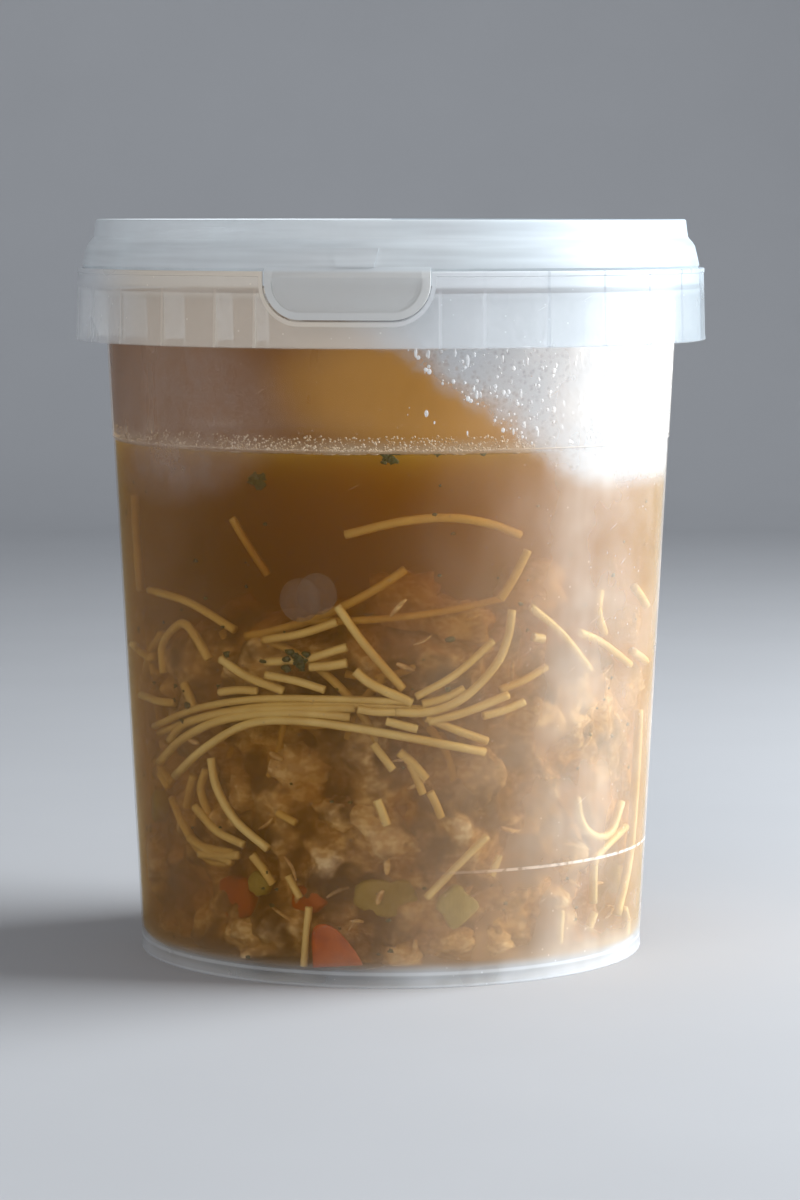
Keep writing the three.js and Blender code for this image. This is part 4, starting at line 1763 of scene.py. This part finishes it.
def build_floor():
    """A pale floor that curves up into the backdrop."""
    half, bend, height, back = 4000.0, 500.0, 3000.0, 1500.0
    outline = [(-half, 0.0), (back - bend, 0.0)]
    outline.extend(arc(back - bend, bend, bend, -90, 0, 16))
    outline.append((back, height))
    points = [Vector((x, y, z)) for x in (-half, half) for y, z in outline]
    count = len(outline)
    faces = [(i, i + 1, count + i + 1, count + i) for i in range(count - 1)]
    mesh = bpy.data.meshes.new("floor")
    mesh.from_pydata([tuple(p * MM) for p in points], [], [tuple(reversed(f)) for f in faces])
    mesh.shade_smooth()
    mesh.materials.append(stage_finish("floor_finish", 0.5, 0.51, 0.53))
    floor = bpy.data.objects.new("floor", mesh)
    bpy.context.scene.collection.objects.link(floor)


def add_light(name, place, size, power, tint):
    """A square soft light that faces the tub."""
    light = bpy.data.lights.new(name, "AREA")
    light.energy = power
    light.size = size
    light.color = tint
    lamp = bpy.data.objects.new(name, light)
    lamp.location = place
    aim = Vector((0, 0, 0.075)) - Vector(place)
    lamp.rotation_euler = aim.to_track_quat("-Z", "Y").to_euler()
    bpy.context.scene.collection.objects.link(lamp)


def build_lights():
    """A large soft light from the right, a fill from the front left and a pale sky."""
    add_light("key", (0.72, 0.1, 0.4), 0.7, 17.5, (0.93, 0.97, 1.0))
    add_light("fill", (-0.35, -0.95, 0.6), 0.8, 4.2, (1.0, 0.98, 0.95))
    world = bpy.data.worlds.new("studio")
    world.use_nodes = True
    sky = world.node_tree.nodes["Background"]
    sky.inputs["Color"].default_value = (0.85, 0.9, 1.0, 1.0)
    sky.inputs["Strength"].default_value = 0.25
    bpy.context.scene.world = world


def build_camera():
    """The camera at the photograph's place and lens."""
    camera = bpy.data.cameras.new("camera")
    camera.lens = CAMERA_LENS
    camera.sensor_width = CAMERA_SENSOR
    camera.sensor_fit = "AUTO"
    camera.clip_start = 0.05
    camera.clip_end = 10.0
    stand = bpy.data.objects.new("camera", camera)
    stand.location = CAMERA_PLACE * MM
    stand.rotation_euler = (math.pi / 2 - CAMERA_TILT, 0.0, 0.0)
    bpy.context.scene.collection.objects.link(stand)
    bpy.context.scene.camera = stand


class SOUP_OT_stage(bpy.types.Operator):
    """Sets the floor, the lights and the camera"""

    bl_idname = "soup.stage"
    bl_label = "Stage"

    def execute(self, context):
        build_floor()
        build_lights()
        build_camera()
        context.scene.cycles.max_bounces = 4
        context.scene.cycles.diffuse_bounces = 2
        context.scene.cycles.glossy_bounces = 2
        context.scene.cycles.volume_bounces = 2
        context.scene.cycles.transparent_max_bounces = 24
        context.scene.view_settings.view_transform = "Standard"
        return {"FINISHED"}


class SOUP_OT_tub(bpy.types.Operator):
    """Builds the tub with its collar, notch and webs"""

    bl_idname = "soup.tub"
    bl_label = "Tub"

    def execute(self, context):
        build_tub()
        return {"FINISHED"}


class SOUP_OT_lid(bpy.types.Operator):
    """Builds the lid with its pull tab"""

    bl_idname = "soup.lid"
    bl_label = "Lid"

    def execute(self, context):
        build_lid()
        return {"FINISHED"}


class SOUP_OT_broth(bpy.types.Operator):
    """Fills the tub with broth"""

    bl_idname = "soup.broth"
    bl_label = "Broth"

    def execute(self, context):
        build_broth()
        return {"FINISHED"}


class SOUP_OT_chicken(bpy.types.Operator):
    """Sinks the pulled chicken in the broth"""

    bl_idname = "soup.chicken"
    bl_label = "Chicken"

    def execute(self, context):
        build_murk()
        build_chicken()
        build_chunks()
        build_shreds()
        return {"FINISHED"}


class SOUP_OT_noodles(bpy.types.Operator):
    """Sinks the noodles in the broth"""

    bl_idname = "soup.noodles"
    bl_label = "Noodles"

    def execute(self, context):
        draw = random.Random(41)
        radius = sizes().noodle / MM / 2
        build_shown_noodles(draw, radius)
        build_more_noodles(draw, radius)
        return {"FINISHED"}


class SOUP_OT_vegetables(bpy.types.Operator):
    """Sinks the carrot, celery and herbs in the broth"""

    bl_idname = "soup.vegetables"
    bl_label = "Vegetables"

    def execute(self, context):
        build_cuts("carrots", CARROTS, 3, carrot_finish(), "carrot", CARROT_WEDGE)
        build_cuts("celeries", CELERIES, 5, celery_finish(), "celery")
        build_herbs()
        return {"FINISHED"}


class SOUP_OT_surface(bpy.types.Operator):
    """Adds froth, fat drops and air pockets"""

    bl_idname = "soup.surface"
    bl_label = "Froth and Fat"

    def execute(self, context):
        draw = random.Random(31)
        build_froth(draw)
        build_fat_drops(draw)
        build_air()
        return {"FINISHED"}


class SOUP_OT_condensation(bpy.types.Operator):
    """Adds the film of broth, the fog and the drops in the headspace"""

    bl_idname = "soup.condensation"
    bl_label = "Film and Condensation"

    def execute(self, context):
        build_film()
        build_beads()
        return {"FINISHED"}


class SOUP_PT_panel(bpy.types.Panel):
    """Lists the pieces of the tub of soup"""

    bl_idname = "SOUP_PT_panel"
    bl_label = "Chicken Noodle Soup"
    bl_space_type = "VIEW_3D"
    bl_region_type = "UI"
    bl_category = "Soup"

    def draw(self, context):
        layout = self.layout
        for operator in OPERATORS:
            layout.operator(operator.bl_idname)
        for name in TubSizes.__annotations__:
            layout.prop(context.scene.tub_sizes, name)
        for name in SoupColours.__annotations__:
            layout.prop(context.scene.soup_colours, name)


OPERATORS = (
    SOUP_OT_stage,
    SOUP_OT_tub,
    SOUP_OT_lid,
    SOUP_OT_broth,
    SOUP_OT_chicken,
    SOUP_OT_noodles,
    SOUP_OT_vegetables,
    SOUP_OT_surface,
    SOUP_OT_condensation,
)
CLASSES = (TubSizes, SoupColours, *OPERATORS, SOUP_PT_panel)


def register():
    """Adds the classes, and the sizes and colours to the scene."""
    for cls in CLASSES:
        bpy.utils.register_class(cls)
    bpy.types.Scene.tub_sizes = bpy.props.PointerProperty(type=TubSizes)
    bpy.types.Scene.soup_colours = bpy.props.PointerProperty(type=SoupColours)


def unregister():
    """Takes them away again."""
    del bpy.types.Scene.soup_colours
    del bpy.types.Scene.tub_sizes
    for cls in reversed(CLASSES):
        bpy.utils.unregister_class(cls)


def main():
    register()
    bpy.ops.soup.stage()
    bpy.ops.soup.tub()
    bpy.ops.soup.lid()
    bpy.ops.soup.broth()
    bpy.ops.soup.chicken()
    bpy.ops.soup.noodles()
    bpy.ops.soup.vegetables()
    bpy.ops.soup.surface()
    bpy.ops.soup.condensation()


if __name__ == "__main__":
    main()
